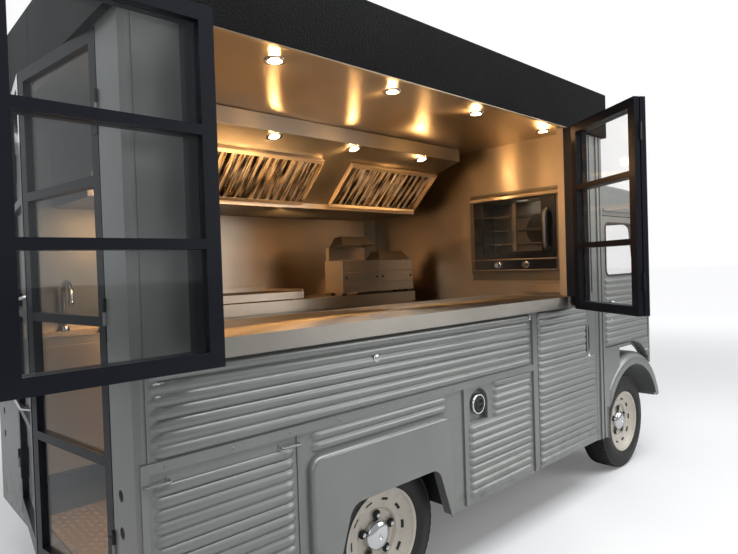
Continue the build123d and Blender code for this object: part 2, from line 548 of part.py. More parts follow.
def cab_shell():
    """The cab: pillars, roof, cowl and windscreen surround, with both doorways cut."""
    shell = plate_xz(cab_outline(0), -BODY_HALF, BODY_HALF)
    crown = [e for e in shell.edges() if e.center().Z > CAB_ROOF_Z - 20 and abs(e.center().Y) > BODY_HALF - 1]
    shell = fillet(crown, 110)
    inner = plate_xz(cab_outline(CAB_WALL), -BODY_HALF + CAB_WALL, BODY_HALF - CAB_WALL)
    shell -= inner
    shell -= block((PILLAR_FRONT_X - 1, TOEBOARD_X), (-FOOTWELL_HALF, FOOTWELL_HALF), (DOOR_LOW_Z - 31, DOOR_LOW_Z + CAB_WALL))
    shell += block((TOEBOARD_X, TOEBOARD_X + SHEET), (-FOOTWELL_HALF, FOOTWELL_HALF), (FLOOR_TOP_Z, DOOR_LOW_Z))
    doorway = door_outline(CAB_GAP)
    cuts = []
    for side in (RIGHT, LEFT):
        y_low, y_high = span(side, BODY_HALF - CAB_WALL - 5, BODY_HALF + 5)
        cuts.append(plate_xz(doorway, y_low, y_high) - wing_arc(-CAB_GAP - TIP_SWEEP, y_low - 5, y_high + 5))
    shell -= cuts
    skirt = cab_skirt(RIGHT)
    shell += [skirt, mirror(skirt, about=Plane.XZ)]
    for side in (RIGHT, LEFT):
        gutter_y = span(side, BODY_HALF - 1, BODY_HALF + GUTTER_OUT)
        shell += block((PILLAR_FRONT_X, WINDSCREEN_TOP_X - 30), gutter_y, (GUTTER_Z, GUTTER_Z + 14))
    rake = (WINDSCREEN_TOP_X - CAB_FRONT_X) / (GUTTER_Z - WAIST_Z)
    low, high = WAIST_Z + 50, GUTTER_Z - 60
    pane = [(CAB_FRONT_X + rake * (low - WAIST_Z) + 60, low), (CAB_FRONT_X + rake * (high - WAIST_Z) + 60, high),
            (CAB_FRONT_X + rake * (high - WAIST_Z) - 120, high), (CAB_FRONT_X + rake * (low - WAIST_Z) - 120, low)]
    shell -= plate_xz(pane, -BODY_HALF + 95, BODY_HALF - 95)
    for side in (RIGHT, LEFT):
        arch = [(PILLAR_FRONT_X, FLOOR_LOW_Z), (TOEBOARD_X + 60, FLOOR_LOW_Z), (CAB_FRONT_X, 700), (CAB_FRONT_X, DOOR_LOW_Z), (PILLAR_FRONT_X, DOOR_LOW_Z)]
        shell += plate_xz(arch, *span(side, FOOTWELL_HALF, ARCH_PLATE_Y))
    return shell


def door_outline(grow):
    """The cab door in the side view, following the raked pillar and the wheel arch."""
    rake = (WINDSCREEN_TOP_X - CAB_FRONT_X) / (GUTTER_Z - WAIST_Z)
    front = DOOR_FRONT_X + grow
    top = GUTTER_Z - 35 + grow
    drop = DOOR_TIP_Z - grow
    return [(DOOR_REAR_X - grow, DOOR_LOW_Z - grow), (ARC_X, DOOR_LOW_Z - grow), (ARC_X, drop), (front, drop), (front, WAIST_Z),
            (front + rake * (top - WAIST_Z), top), (DOOR_REAR_X - grow, top)]


DOOR_LOW_RIBS = 4


def cab_door(side):
    """One cab door as a whole: ribbed below, a window above."""
    y_low, y_high = span(side, BODY_HALF - CAB_WALL, BODY_HALF)
    door = plate_xz(door_outline(0), y_low, y_high) - wing_arc(0, y_low - 5, y_high + 5)
    door -= window_solid(side, BODY_HALF - CAB_WALL - 5, BODY_HALF + 5)
    for n in range(DOOR_LOW_RIBS):
        z = DOOR_LOW_Z + 8 + RIB_WIDE / 2 - (n + 1) * RIB_PITCH
        drop = z - RIB_WIDE / 2 - (DOOR_LOW_Z - ARC_RADIUS)
        start = ARC_X + math.sqrt(ARC_RADIUS ** 2 - drop ** 2) + 14
        if DOOR_FRONT_X - 12 - start > 2 * RIB_WIDE and z - RIB_WIDE / 2 > DOOR_TIP_Z + LEAF_GAP:
            door += rib(start, DOOR_FRONT_X - 12, z, side)
    return door + ribs(DOOR_REAR_X + 12, DOOR_FRONT_X - 30, DOOR_LOW_Z + 8, WAIST_Z + WINDOW_UP - 10, side)


def cab_door_pivot(side):
    return (DOOR_FRONT_X + CAB_GAP / 2, side * BODY_HALF)


def place_cab():
    """The cab with its two doors, hung at their front edges, and the bonnet, hung at its rear edge."""
    shell = cab_shell()
    for side, word in ((RIGHT, "right"), (LEFT, "left")):
        x, y = cab_door_pivot(side)
        shell, door = hinge(shell, cab_door(side), (x, y, 0), UP, CAB_HINGES_Z)
        PARTS["cab_door_" + word] = door
        PARTS["cab_door_" + word + "_glass"] = make_door_glass(side)
    shell, lid = hinge(shell, bonnet(), BONNET_PIVOT, (0, 1, 0), BONNET_HINGES_Y)
    PARTS["cab_shell"] = shell
    PARTS["bonnet"] = lid


WINDOW_UP = 70.0
WINDOW_REAR = 30.0
WINDOW_FRONT = 55.0
WINDOW_ROUND = 45.0


def window_outline():
    rake = (WINDSCREEN_TOP_X - CAB_FRONT_X) / (GUTTER_Z - WAIST_Z)
    low, high = WAIST_Z + WINDOW_UP, GUTTER_Z - 80
    rear, front = DOOR_REAR_X + WINDOW_REAR, DOOR_FRONT_X - WINDOW_FRONT + rake * WINDOW_UP
    return [(rear, low), (front, low), (front + rake * (high - low), high), (rear, high)]


def window_solid(side, inner, outer):
    """The cab door's window as a solid with rounded corners, between two distances from the middle line."""
    pane = plate_xz(window_outline(), *span(side, inner, outer))
    return fillet(pane.edges().filter_by(Axis.Y), WINDOW_ROUND)


def make_door_glass(side):
    middle = BODY_HALF - CAB_WALL / 2
    return window_solid(side, middle - GLASS_THICK / 2, middle + GLASS_THICK / 2)


def make_windscreen():
    rake = (WINDSCREEN_TOP_X - CAB_FRONT_X) / (GUTTER_Z - WAIST_Z)
    low, high = WAIST_Z + 50, GUTTER_Z - 60
    back = 16.0
    pane = [(CAB_FRONT_X + rake * (low - WAIST_Z) - back, low), (CAB_FRONT_X + rake * (high - WAIST_Z) - back, high),
            (CAB_FRONT_X + rake * (high - WAIST_Z) - back - GLASS_THICK, high), (CAB_FRONT_X + rake * (low - WAIST_Z) - back - GLASS_THICK, low)]
    return plate_xz(pane, -BODY_HALF + 95, BODY_HALF - 95)


# Nose
BONNET_HALF = NOSE_HALF - 65.0
GRILLE_HALF = 290.0
NOSE_RIBS = 11
LAMP_RADIUS = 92.0
LAMP_OFF = 145.0
LAMP_Z = NOSE_LOW_Z + 265.0
BONNET_THICK = 24.0
BONNET_LIFT = 5.0
BONNET_PIVOT = (CAB_FRONT_X + LEAF_GAP / 2, 0, BONNET_REAR_Z + BONNET_THICK + BONNET_LIFT - 4)
BONNET_HINGES_Y = (-300.0, 210.0)


def make_nose():
    """The snout's sides, floor and front surround, open on top for the bonnet and in front for the grille."""
    side = [(CAB_FRONT_X + SEAT, NOSE_LOW_Z), (NOSE_TIP_X - 30, NOSE_LOW_Z), (NOSE_TIP_X, NOSE_LOW_Z + 120), (NOSE_TIP_X, BONNET_FRONT_Z - 40),
            (NOSE_TIP_X - 45, BONNET_FRONT_Z), (CAB_FRONT_X + SEAT, BONNET_REAR_Z)]
    nose = plate_xz(side, -NOSE_HALF, NOSE_HALF)
    edges = [e for e in nose.edges() if abs(abs(e.center().Y) - NOSE_HALF) < 1 and e.center().Z > BONNET_FRONT_Z - 60 and e.center().X < NOSE_TIP_X - 1]
    nose = fillet(edges, 60)
    hollow = [(CAB_FRONT_X - 5, NOSE_LOW_Z - 5), (NOSE_TIP_X - 60, NOSE_LOW_Z - 5), (NOSE_TIP_X - 24, NOSE_LOW_Z + 130),
              (NOSE_TIP_X - 24, BONNET_FRONT_Z + 80), (CAB_FRONT_X - 5, BONNET_REAR_Z + 80)]
    nose -= plate_xz(hollow, -NOSE_HALF + 30, NOSE_HALF - 30)
    nose -= block((NOSE_TIP_X - 60, NOSE_TIP_X + 10), (-GRILLE_HALF, GRILLE_HALF), (NOSE_LOW_Z + 70, BONNET_FRONT_Z - 70))
    for n in range(NOSE_RIBS):
        z = NOSE_LOW_Z + 60 + n * RIB_PITCH
        front = NOSE_TIP_X - 40 - max(0, (z - BONNET_FRONT_Z + 90) * 1.1)
        for side_word in (RIGHT, LEFT):
            section = [(side_word * y, level) for level, y in ridge_section(z, NOSE_HALF, RIB_HIGH)]
            nose += plate_yz(section, CAB_FRONT_X + 20, front)
    return nose


def bonnet():
    """The lid over the engine, hinged at the foot of the windscreen."""
    gap = LEAF_GAP
    lift = BONNET_LIFT
    rear, front = CAB_FRONT_X + gap, NOSE_TIP_X - 50
    slope = (BONNET_FRONT_Z - BONNET_REAR_Z) / (NOSE_TIP_X - 45 - CAB_FRONT_X)
    low = [(rear, BONNET_REAR_Z + slope * gap + lift), (front, BONNET_REAR_Z + slope * (front - CAB_FRONT_X) + lift)]
    high = [(x, z + BONNET_THICK) for x, z in reversed(low)]
    return plate_xz(low + high, -BONNET_HALF, BONNET_HALF)


def make_grille():
    """Level slats in the nose's front opening."""
    slats = None
    low, high = NOSE_LOW_Z + 70, BONNET_FRONT_Z - 70
    count = 9
    for n in range(count):
        z = low + (n + 0.5) * (high - low) / count
        slat = block((NOSE_TIP_X - 22, NOSE_TIP_X + 2), (-GRILLE_HALF, GRILLE_HALF), (z - 7, z + 7))
        slats = slat if slats is None else slats + slat
    for y in (-150, 150):
        slats += block((NOSE_TIP_X - 30, NOSE_TIP_X - 20), (y - 8, y + 8), (low, high))
    return slats


def wing_solid(side, inset, rounded=True):
    """The front wing as if solid: an arc over the wheel, upright behind it, rounded at its outer shoulder."""
    inner, outer = ARCH_PLATE_Y, BODY_HALF + WING_OUT - inset
    middle = side * (inner + outer) / 2
    rear, low = WING_REAR_X + inset, WING_LOW_Z
    solid = drum(FRONT_HUB_X, middle, HUB_Z, WING_RADIUS - inset, outer - inner)
    reach = WING_RADIUS + 70
    solid -= block((rear - reach, rear), (-outer - 5, outer + 5), (HUB_Z - reach, HUB_Z + reach))
    solid -= block((rear - 1, FRONT_HUB_X + reach), (-outer - 5, outer + 5), (HUB_Z - reach, low))
    shoulder = [e for e in solid.edges() if abs(e.center().Y - side * outer) < 0.5 and e.center().Z > low + 1]
    if rounded:
        return fillet(shoulder, WING_SHOULDER)
    return chamfer(shoulder, WING_SHOULDER * 0.6)


def make_front_mudguard(side):
    """A wing of sheet over one front wheel, open at the wheel and below."""
    outer = BODY_HALF + WING_OUT
    wing = wing_solid(side, 0) - wing_solid(side, SHEET, rounded=False)
    opening = drum(FRONT_HUB_X, side * outer, HUB_Z, WING_OPENING, 120)
    opening -= block((WING_REAR_X - 5, WING_REAR_X + WING_LEG), (-outer - 200, outer + 200), (0, HUB_Z + 2 * WING_RADIUS))
    wing -= opening
    wing -= block((FRONT_HUB_X, FRONT_HUB_X + WING_RADIUS + 70), (-outer - 5, outer + 5), (0, WING_FRONT_Z))
    return wing


def make_front_bumper():
    """A full-width bar carried on two irons from the front crossmember."""
    bar = block((NOSE_TIP_X - 10, NOSE_TIP_X + 15), (85 - BODY_HALF, BODY_HALF - 85), (ARM_HIGH_Z - 25, ARM_HIGH_Z + 65))
    for y in (-380, 380):
        bar += block((CRADLE_X[1] + 30, NOSE_TIP_X - 10), (y - 20, y + 20), (ARM_HIGH_Z - 20, ARM_HIGH_Z + 30))
        bar += block((CRADLE_X[1] + 30, CRADLE_X[1] + 60), (y - 20, y + 70), (ARM_LOW_Z + 30, ARM_HIGH_Z + 30))
    return bar


def make_headlamp(side):
    """A round lamp in a deep bowl, carried by an arm from the side of the nose."""
    y = side * (NOSE_HALF + LAMP_OFF)
    front = NOSE_TIP_X - 70.0
    profile = [(0, 0), (0, LAMP_RADIUS), (25, LAMP_RADIUS), (80, LAMP_RADIUS - 18), (130, LAMP_RADIUS - 50), (150, 0)]
    outline = Polyline(*[(front - back, y, LAMP_Z + radius) for back, radius in profile], close=True)
    bowl = revolve(make_face(outline), axis=Axis((0, y, LAMP_Z), (1, 0, 0)), revolution_arc=360)
    arm = block((front - 110, front - 50), span(side, NOSE_HALF + RIB_HIGH + SEAT, NOSE_HALF + LAMP_OFF), (LAMP_Z - 22, LAMP_Z + 22))
    return bowl + arm


# Serving hatch
LEAF_INNER_Y = -(BODY_HALF + COUNTER_OUT + LEAF_STANDOFF)
LEAF_OUTER_Y = LEAF_INNER_Y - LEAF_THICK
LEAF_HIGH_Z = HATCH_TOP_Z - 8.0
LEAF_LENGTH = (HATCH_FRONT_X - HATCH_REAR_X - 5 * LEAF_GAP) / 4.0
PIVOT_OFF = LEAF_GAP / 2.0
PANES = 3
FRONT_HINGE = (HATCH_FRONT_X - PIVOT_OFF, LEAF_OUTER_Y - PIVOT_OFF)
FRONT_FOLD = (FRONT_HINGE[0] - LEAF_GAP - LEAF_LENGTH, LEAF_OUTER_Y - PIVOT_OFF)
REAR_HINGE = (HATCH_REAR_X + PIVOT_OFF, LEAF_OUTER_Y - PIVOT_OFF)
REAR_FOLD = (REAR_HINGE[0] + LEAF_GAP + LEAF_LENGTH, LEAF_INNER_Y + PIVOT_OFF)


def leaf_frame(x_low, x_high):
    """A closed leaf: stiles, rails and two bars round three panes."""
    leaf = block((x_low, x_high), (LEAF_OUTER_Y, LEAF_INNER_Y), (LEAF_LOW_Z, LEAF_HIGH_Z))
    for z_low, z_high in pane_heights():
        leaf -= block((x_low + LEAF_BAR, x_high - LEAF_BAR), (LEAF_OUTER_Y - 1, LEAF_INNER_Y + 1), (z_low, z_high))
    return leaf


def pane_heights():
    bar = 32.0
    low, high = LEAF_LOW_Z + LEAF_BAR, LEAF_HIGH_Z - LEAF_BAR
    pane = (high - low - (PANES - 1) * bar) / PANES
    return [(low + n * (pane + bar), low + n * (pane + bar) + pane) for n in range(PANES)]


def leaf_glass(x_low, x_high):
    middle = (LEAF_INNER_Y + LEAF_OUTER_Y) / 2
    panes = [block((x_low + LEAF_BAR, x_high - LEAF_BAR), (middle - GLASS_THICK / 2, middle + GLASS_THICK / 2), z) for z in pane_heights()]
    return Compound(panes)


def turned(shape, pivot, angle):
    """The shape turned about an upright axis through a point of the plan."""
    x, y = pivot
    return Pos(x, y, 0) * Rot(0, 0, angle) * Pos(-x, -y, 0) * shape


LEAF_CORNER = 9.0
LEAF_SHORT = 9.0


def free_corner(x):
    """The bevel on a leaf's outer corner at x, which clears the jamb's hinge when the pair is folded."""
    y, out = LEAF_OUTER_Y, 1.0
    reach = LEAF_CORNER + out
    return plate_xy([(x - out, y - out), (x + reach, y - out), (x - out, y + reach)], LEAF_LOW_Z - out, LEAF_HIGH_Z + out)


LEAF_HINGES_Z = (LEAF_LOW_Z + 130.0, LEAF_HIGH_Z - 220.0)
UP = (0, 0, 1)


def place_leaves():
    """Both pairs, hung closed and then swung: the front pair angled out, the rear pair flat along the wall."""
    front_a = (FRONT_FOLD[0] + PIVOT_OFF, FRONT_HINGE[0] - PIVOT_OFF)
    front_b = (front_a[0] - LEAF_GAP - LEAF_LENGTH + LEAF_SHORT, front_a[0] - LEAF_GAP)
    rear_a = (REAR_HINGE[0] + PIVOT_OFF, REAR_FOLD[0] - PIVOT_OFF)
    rear_b = (rear_a[1] + LEAF_GAP, rear_a[1] + LEAF_GAP + LEAF_LENGTH)
    frame = make_hatch_frame()
    for word, xs_a, xs_b, jamb, fold, swing in (("front", front_a, front_b, FRONT_HINGE, FRONT_FOLD, FRONT_LEAF_OPEN),
                                                ("rear", rear_a, rear_b, REAR_HINGE, REAR_FOLD, -180.0)):
        frame, leaf_a = hinge(frame, leaf_frame(*xs_a), (jamb[0], jamb[1], 0), UP, LEAF_HINGES_Z)
        leaf_a, leaf_b = hinge(leaf_a, leaf_frame(*xs_b), (fold[0], fold[1], 0), UP, LEAF_HINGES_Z)
        if fold[1] < LEAF_OUTER_Y:
            leaf_b -= free_corner(xs_b[0])
        PARTS[word + "_leaf_a"] = turned(leaf_a, jamb, swing)
        PARTS[word + "_leaf_a_glass"] = turned(leaf_glass(*xs_a), jamb, swing)
        PARTS[word + "_leaf_b"] = turned(turned(leaf_b, fold, 180), jamb, swing)
        PARTS[word + "_leaf_b_glass"] = turned(turned(leaf_glass(*xs_b), fold, 180), jamb, swing)
    PARTS["hatch_frame"] = frame


def make_hatch_frame():
    """The black frame round the hatch that the leaves hang on and close against."""
    depth = (LEAF_OUTER_Y, -BODY_HALF)
    frame = block((HATCH_FRONT_X, HATCH_FRONT_X + 40), depth, (COUNTER_LOW_Z + 5, HATCH_TOP_Z - 5))
    frame += block((HATCH_REAR_X - 40, HATCH_REAR_X), depth, (COUNTER_LOW_Z + 5, HATCH_TOP_Z - 5))
    return frame


def make_counter():
    """The stainless serving counter, resting on the low wall and lipped at its front edge."""
    x = (HATCH_REAR_X + 2, HATCH_FRONT_X - 2)
    front = -(BODY_HALF + COUNTER_OUT)
    counter = block(x, (front, front + COUNTER_DEEP), (COUNTER_TOP_Z - 20, COUNTER_TOP_Z))
    counter += block(x, (front, front + 20), (COUNTER_LOW_Z, COUNTER_TOP_Z))
    counter += block(x, (-BODY_HALF, -INNER_HALF), (COUNTER_LOW_Z - LEAF_GAP, COUNTER_TOP_Z - 20))
    counter += block(x, (front + COUNTER_DEEP - 20, front + COUNTER_DEEP), (COUNTER_TOP_Z - 60, COUNTER_TOP_Z))
    return counter


# Rear doors
REAR_LEAF_WIDE = (DOORWAY_LEFT_Y - DOORWAY_RIGHT_Y - 3 * LEAF_GAP) / 2.0
REAR_BAR = 46.0
REAR_PANES = 4
REAR_HINGES_Z = (FLOOR_TOP_Z + 220.0, (FLOOR_TOP_Z + DOORWAY_TOP_Z) / 2.0, DOORWAY_TOP_Z - 305.0)


def rear_leaf_y(side):
    """The closed leaf's two edges across the doorway."""
    if side < 0:
        return (DOORWAY_RIGHT_Y + LEAF_GAP, DOORWAY_RIGHT_Y + LEAF_GAP + REAR_LEAF_WIDE)
    return (DOORWAY_LEFT_Y - LEAF_GAP - REAR_LEAF_WIDE, DOORWAY_LEFT_Y - LEAF_GAP)


def rear_panes():
    low, high = FLOOR_TOP_Z + LEAF_GAP + 70, DOORWAY_TOP_Z - LEAF_GAP - REAR_BAR
    bar = 34.0
    pane = (high - low - (REAR_PANES - 1) * bar) / REAR_PANES
    return [(low + n * (pane + bar), low + n * (pane + bar) + pane) for n in range(REAR_PANES)]


def rear_pivot(side):
    y = DOORWAY_RIGHT_Y + PIVOT_OFF if side < 0 else DOORWAY_LEFT_Y - PIVOT_OFF
    return (-PIVOT_OFF, y)


def place_rear_doors():
    """Two glazed doors in black frames, hung on the end posts and left a little open."""
    frame = make_rear_frame()
    for side, word in ((RIGHT, "right"), (LEFT, "left")):
        y_low, y_high = rear_leaf_y(side)
        door = block((0, REAR_LEAF_THICK), (y_low, y_high), (FLOOR_TOP_Z + LEAF_GAP, DOORWAY_TOP_Z - LEAF_GAP))
        middle = REAR_LEAF_THICK / 2
        panes = []
        for z in rear_panes():
            door -= block((-1, REAR_LEAF_THICK + 1), (y_low + REAR_BAR, y_high - REAR_BAR), z)
            panes.append(block((middle - GLASS_THICK / 2, middle + GLASS_THICK / 2), (y_low + REAR_BAR, y_high - REAR_BAR), z))
        pivot = rear_pivot(side)
        frame, door = hinge(frame, door, (pivot[0], pivot[1], 0), UP, REAR_HINGES_Z)
        PARTS["rear_door_" + word] = turned(door, pivot, -side * REAR_LEAF_OPEN)
        PARTS["rear_door_" + word + "_glass"] = turned(Compound(panes), pivot, -side * REAR_LEAF_OPEN)
    PARTS["rear_frame"] = frame


# Kitchen
OVEN_Y = (103.0 - INNER_HALF, 838.0 - INNER_HALF)
OVEN_Z = (WORKTOP_Z + 240.0, WORKTOP_Z + 790.0)
OVEN_DEEP = 240.0
OVEN_OUT = 22.0
OVEN_KNOBS_Y = (OVEN_Y[0] + 248.0, OVEN_Y[0] + 473.0)


def make_lining():
    """The stainless ceiling and front wall, cut for the oven, and the cab's rear wall behind it."""
    wall = block((KITCHEN_FRONT_X, KITCHEN_FRONT_X + 25), (-INNER_HALF + 0.3, INNER_HALF - 0.3), (FLOOR_TOP_Z, WALL_TOP_Z))
    wall -= block((KITCHEN_FRONT_X - 5, KITCHEN_FRONT_X + 30), OVEN_Y, OVEN_Z)
    back = block((PILLAR_FRONT_X - 25, PILLAR_FRONT_X - 0.3), (-INNER_HALF + 0.3, INNER_HALF - 0.3), (FLOOR_TOP_Z, WALL_TOP_Z - 0.3))
    return Compound([make_ceiling() + wall, back])


def make_oven():
    """A built-in convection oven: a cased body with a glazed door and a control strip below it."""
    x = KITCHEN_FRONT_X
    oven = block((x - SEAT, x + OVEN_DEEP), (OVEN_Y[0] + SEAT, OVEN_Y[1] - SEAT), (OVEN_Z[0] + SEAT, OVEN_Z[1] - SEAT))
    oven += block((x - OVEN_OUT, x - SEAT), (OVEN_Y[0] - 14, OVEN_Y[1] + 14), (OVEN_Z[0] - 14, OVEN_Z[1] + 14))
    oven -= block((x - OVEN_OUT - 1, x + OVEN_DEEP - 40), (OVEN_Y[0] + 25, OVEN_Y[1] - 60), (OVEN_Z[0] + 105, OVEN_Z[1] - 30))
    oven += block((x - OVEN_OUT, x - OVEN_OUT + 6), (OVEN_Y[0] + 24, OVEN_Y[1] - 59), (OVEN_Z[0] + 104, OVEN_Z[1] - 29))
    for y in OVEN_KNOBS_Y:
        oven += Pos(x - OVEN_OUT - 8, y, OVEN_Z[0] + 55) * Rot(0, 90, 0) * Cylinder(18, 18)
    return oven


HOOD_FRONT_Y = LINE_FRONT_Y - 495.0
HOOD_FACE_HIGH = 92.0
HOOD_REAR_X = 300.0
FILTER_Y = (LINE_FRONT_Y - 290.0, LINE_FRONT_Y - 20.0)
FILTER_Z = (HOOD_LIP_Z + 294.0, HOOD_LIP_Z + 34.0)


def make_hood():
    """The extractor hood along the left wall, with a sloping face that holds the filters."""
    back, top = INNER_HALF - SEAT, WALL_TOP_Z - SEAT
    section = [(back, top), (HOOD_FRONT_Y, top), (HOOD_FRONT_Y, WALL_TOP_Z - HOOD_FACE_HIGH), (FILTER_Y[0], FILTER_Z[0]),
               (FILTER_Y[1], FILTER_Z[1]), (FILTER_Y[1], HOOD_LIP_Z), (back, HOOD_LIP_Z)]
    return plate_yz(section, HOOD_REAR_X, KITCHEN_FRONT_X - SEAT)


def make_worktop():
    """The left worktop with its griddle, cabinets down to the floor."""
    top = block(WORKTOP_X, (LINE_FRONT_Y, WHEEL_BOX_Y - 1), (FLOOR_TOP_Z, WORKTOP_Z - 40))
    top += block(WORKTOP_X, (LINE_FRONT_Y, INNER_HALF - SEAT), (WORKTOP_Z - 40, WORKTOP_Z))
    top += block(GRIDDLE_X, (LINE_FRONT_Y + 20, INNER_HALF - 120), (WORKTOP_Z - 1, WORKTOP_Z + 90))
    return top


def make_fryer():
    """A pair of deep fryers with two open tanks and raised lids."""
    x = FRYER_X
    body = block(x, (LINE_FRONT_Y, INNER_HALF - 30), (FLOOR_TOP_Z, WORKTOP_Z + 60))
    middle = (x[0] + x[1]) / 2
    tank = FRYER_LONG / 2 - 75
    for low in (x[0] + 50, middle + 25):
        body -= block((low, low + tank), (LINE_FRONT_Y + 120, INNER_HALF - 120), (WORKTOP_Z - 160, WORKTOP_Z + 61))
        lid = block((low, low + tank), (INNER_HALF - 110, INNER_HALF - 95), (WORKTOP_Z + 60, WORKTOP_Z + 330))
        body += lid
    return body


TAP_X = SINK_X[0] + 265.0
TAP_RADIUS = 11.0
TAP_BEND = 75.0
TAP_HIGH = 290.0


def make_sink():
    """A sink cabinet on legs by the rear door, with a bowl in its top."""
    x = SINK_X
    sink = block(x, (WHEEL_BOX_Y - 100, INNER_HALF - 1), (FLOOR_TOP_Z + 140, WORKTOP_Z))
    sink -= block((x[0] + 90, x[1] - 100), (WHEEL_BOX_Y - 40, INNER_HALF - 80), (WORKTOP_Z - 160, WORKTOP_Z + 1))
    for lx in (x[0] + 30, x[1] - 30):
        for ly in (WHEEL_BOX_Y - 70, INNER_HALF - 40):
            sink += Pos(lx, ly, FLOOR_TOP_Z + 70) * Cylinder(16, 140)
    foot_y = INNER_HALF - 45
    riser = WORKTOP_Z + TAP_HIGH - TAP_BEND
    tap = Pos(TAP_X, foot_y, (WORKTOP_Z - 2 + riser) / 2) * Cylinder(TAP_RADIUS, riser - WORKTOP_Z + 2)
    plane = Plane(origin=(TAP_X, foot_y, riser), x_dir=(1, 0, 0), z_dir=(0, 0, 1))
    swan = revolve(plane * RegularPolygon(TAP_RADIUS, 6), axis=Axis((TAP_X, foot_y - TAP_BEND, riser), (1, 0, 0)), revolution_arc=180)
    spout = Pos(TAP_X, foot_y - 2 * TAP_BEND, riser - 20) * Cylinder(TAP_RADIUS, 40)
    return sink + (tap + swan + spout)


# Cab interior
SEAT_SIDE_GAP = 25.0
SEAT_MIDDLE_GAP = 65.0
SEAT_HALF = (FOOTWELL_HALF - SEAT_SIDE_GAP - SEAT_MIDDLE_GAP) / 2.0
SEAT_Y = SEAT_MIDDLE_GAP + SEAT_HALF
SEAT_LOW_Z = FLOOR_TOP_Z + 290.0


def make_seats():
    """Two plain cab seats, each a cushion and a back on a base."""
    seats = []
    for y in (-SEAT_Y, SEAT_Y):
        base = block((PILLAR_FRONT_X + 20, PILLAR_FRONT_X + 330), (y - 110, y + 110), (FLOOR_TOP_Z, SEAT_LOW_Z))
        cushion = block((PILLAR_FRONT_X + 15, PILLAR_FRONT_X + 440), (y - SEAT_HALF, y + SEAT_HALF), (SEAT_LOW_Z, SEAT_LOW_Z + 110))
        rest = block((PILLAR_FRONT_X + 15, PILLAR_FRONT_X + 115), (y - SEAT_HALF, y + SEAT_HALF), (SEAT_LOW_Z + 110, SEAT_LOW_Z + 630))
        seats.append(base + cushion + rest)
    return Compound(seats)


def make_dashboard():
    """A plain shelf across the cab under the windscreen."""
    return block((CAB_FRONT_X - 200, CAB_FRONT_X - CAB_WALL - SEAT), (-INNER_HALF + 30, INNER_HALF - 30), (WAIST_Z - 170, WAIST_Z - 40))


def make_steering_wheel():
    middle = Vector(CAB_FRONT_X - 330, SEAT_Y, WAIST_Z - 120)
    tilt = Pos(*middle) * Rot(0, -25, 0)
    hoop = Polyline((178, 0, -10), (202, 0, -10), (202, 0, 10), (178, 0, 10), close=True)
    ring = tilt * revolve(make_face(hoop), axis=Axis.Z, revolution_arc=360)
    for angle in (0, 120, 240):
        ring += Pos(*middle) * Rot(0, -25, 0) * Rot(0, 0, angle) * Pos(95, 0, 0) * Box(190, 24, 8)
    column = Pos(*middle) * Rot(0, -25, 0) * Pos(0, 0, -150) * Cylinder(22, 300)
    return ring + column


ENGINE_FRONT_X = CAB_FRONT_X + 140.0
ENGINE_HALF = 200.0
ENGINE_TOP_Z = NOSE_LOW_Z + 260.0


def make_engine():
    """One plain block in the engine's place, resting on the front cross tube."""
    return block((TOEBOARD_X + 20, ENGINE_FRONT_X), (-ENGINE_HALF, ENGINE_HALF), (ARM_LOW_Z + 60 + SEAT, ENGINE_TOP_Z))


def build():
    """Makes every sub-part in its place."""
    PARTS["floor"] = make_floor()
    PARTS["rear_axle"] = make_rear_axle()
    PARTS["front_subframe"] = make_front_subframe()
    PARTS["engine"] = make_engine()
    PARTS["left_side"] = make_left_side()
    PARTS["right_side"] = make_right_side()
    PARTS["sliding_door"] = make_sliding_door()
    PARTS["roof_box"] = make_roof_box()
    place_cab()
    PARTS["windscreen"] = make_windscreen()
    PARTS["nose"] = make_nose()
    PARTS["grille"] = make_grille()
    PARTS["front_bumper"] = make_front_bumper()
    PARTS["headlamps"] = Compound([make_headlamp(RIGHT), make_headlamp(LEFT)])
    PARTS["rear_mudguards"] = Compound([make_mudguard(RIGHT), make_mudguard(LEFT)])
    wing = make_front_mudguard(RIGHT)
    PARTS["front_mudguards"] = Compound([wing, mirror(wing, about=Plane.XZ)])
    PARTS["counter"] = make_counter()
    place_leaves()
    place_rear_doors()
    for side, word in ((RIGHT, "right"), (LEFT, "left")):
        PARTS["knuckle_" + word] = make_knuckle(side)
        for end, x in (("front", FRONT_HUB_X), ("rear", REAR_HUB_X)):
            PARTS["tyre_" + end + "_" + word] = make_tyre(x, side)
            PARTS["rim_" + end + "_" + word] = make_rim(x, side)
    PARTS["lining"] = make_lining()
    PARTS["oven"] = make_oven()
    PARTS["hood"] = make_hood()
    PARTS["worktop"] = make_worktop()
    PARTS["fryer"] = make_fryer()
    PARTS["sink"] = make_sink()
    PARTS["seats"] = make_seats()
    PARTS["dashboard"] = make_dashboard() + make_steering_wheel()


def origin_shift():
    """The stored origin lies on the road, under the middle of everything."""
    boxes = [shape.bounding_box() for shape in PARTS.values()]
    x = (min(b.min.X for b in boxes) + max(b.max.X for b in boxes)) / 2.0
    y = (min(b.min.Y for b in boxes) + max(b.max.Y for b in boxes)) / 2.0
    z = min(b.min.Z for b in boxes)
    return (-round(x, 2), -round(y, 2), -round(z, 2))


build()
SHIFT = origin_shift()
os.makedirs("parts", exist_ok=True)
for name, shape in PARTS.items():
    export_step(Pos(*SHIFT) * shape, "parts/" + name + ".step")
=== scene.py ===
# %% [markdown]
# # Food truck: the looks
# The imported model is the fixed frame: every piece below is placed round it, in metres, and rides on one of
# its bodies. Sizes are written in millimetres in the drawing's own frame, X from the rear face to the nose,
# Y to the left, Z up, because that is how the real vehicle is measured. One function turns them into the
# frame's metres.

# %% Load the frame
import json
import math

import bmesh
import bpy
import numpy as np
from mathutils import Matrix, Vector


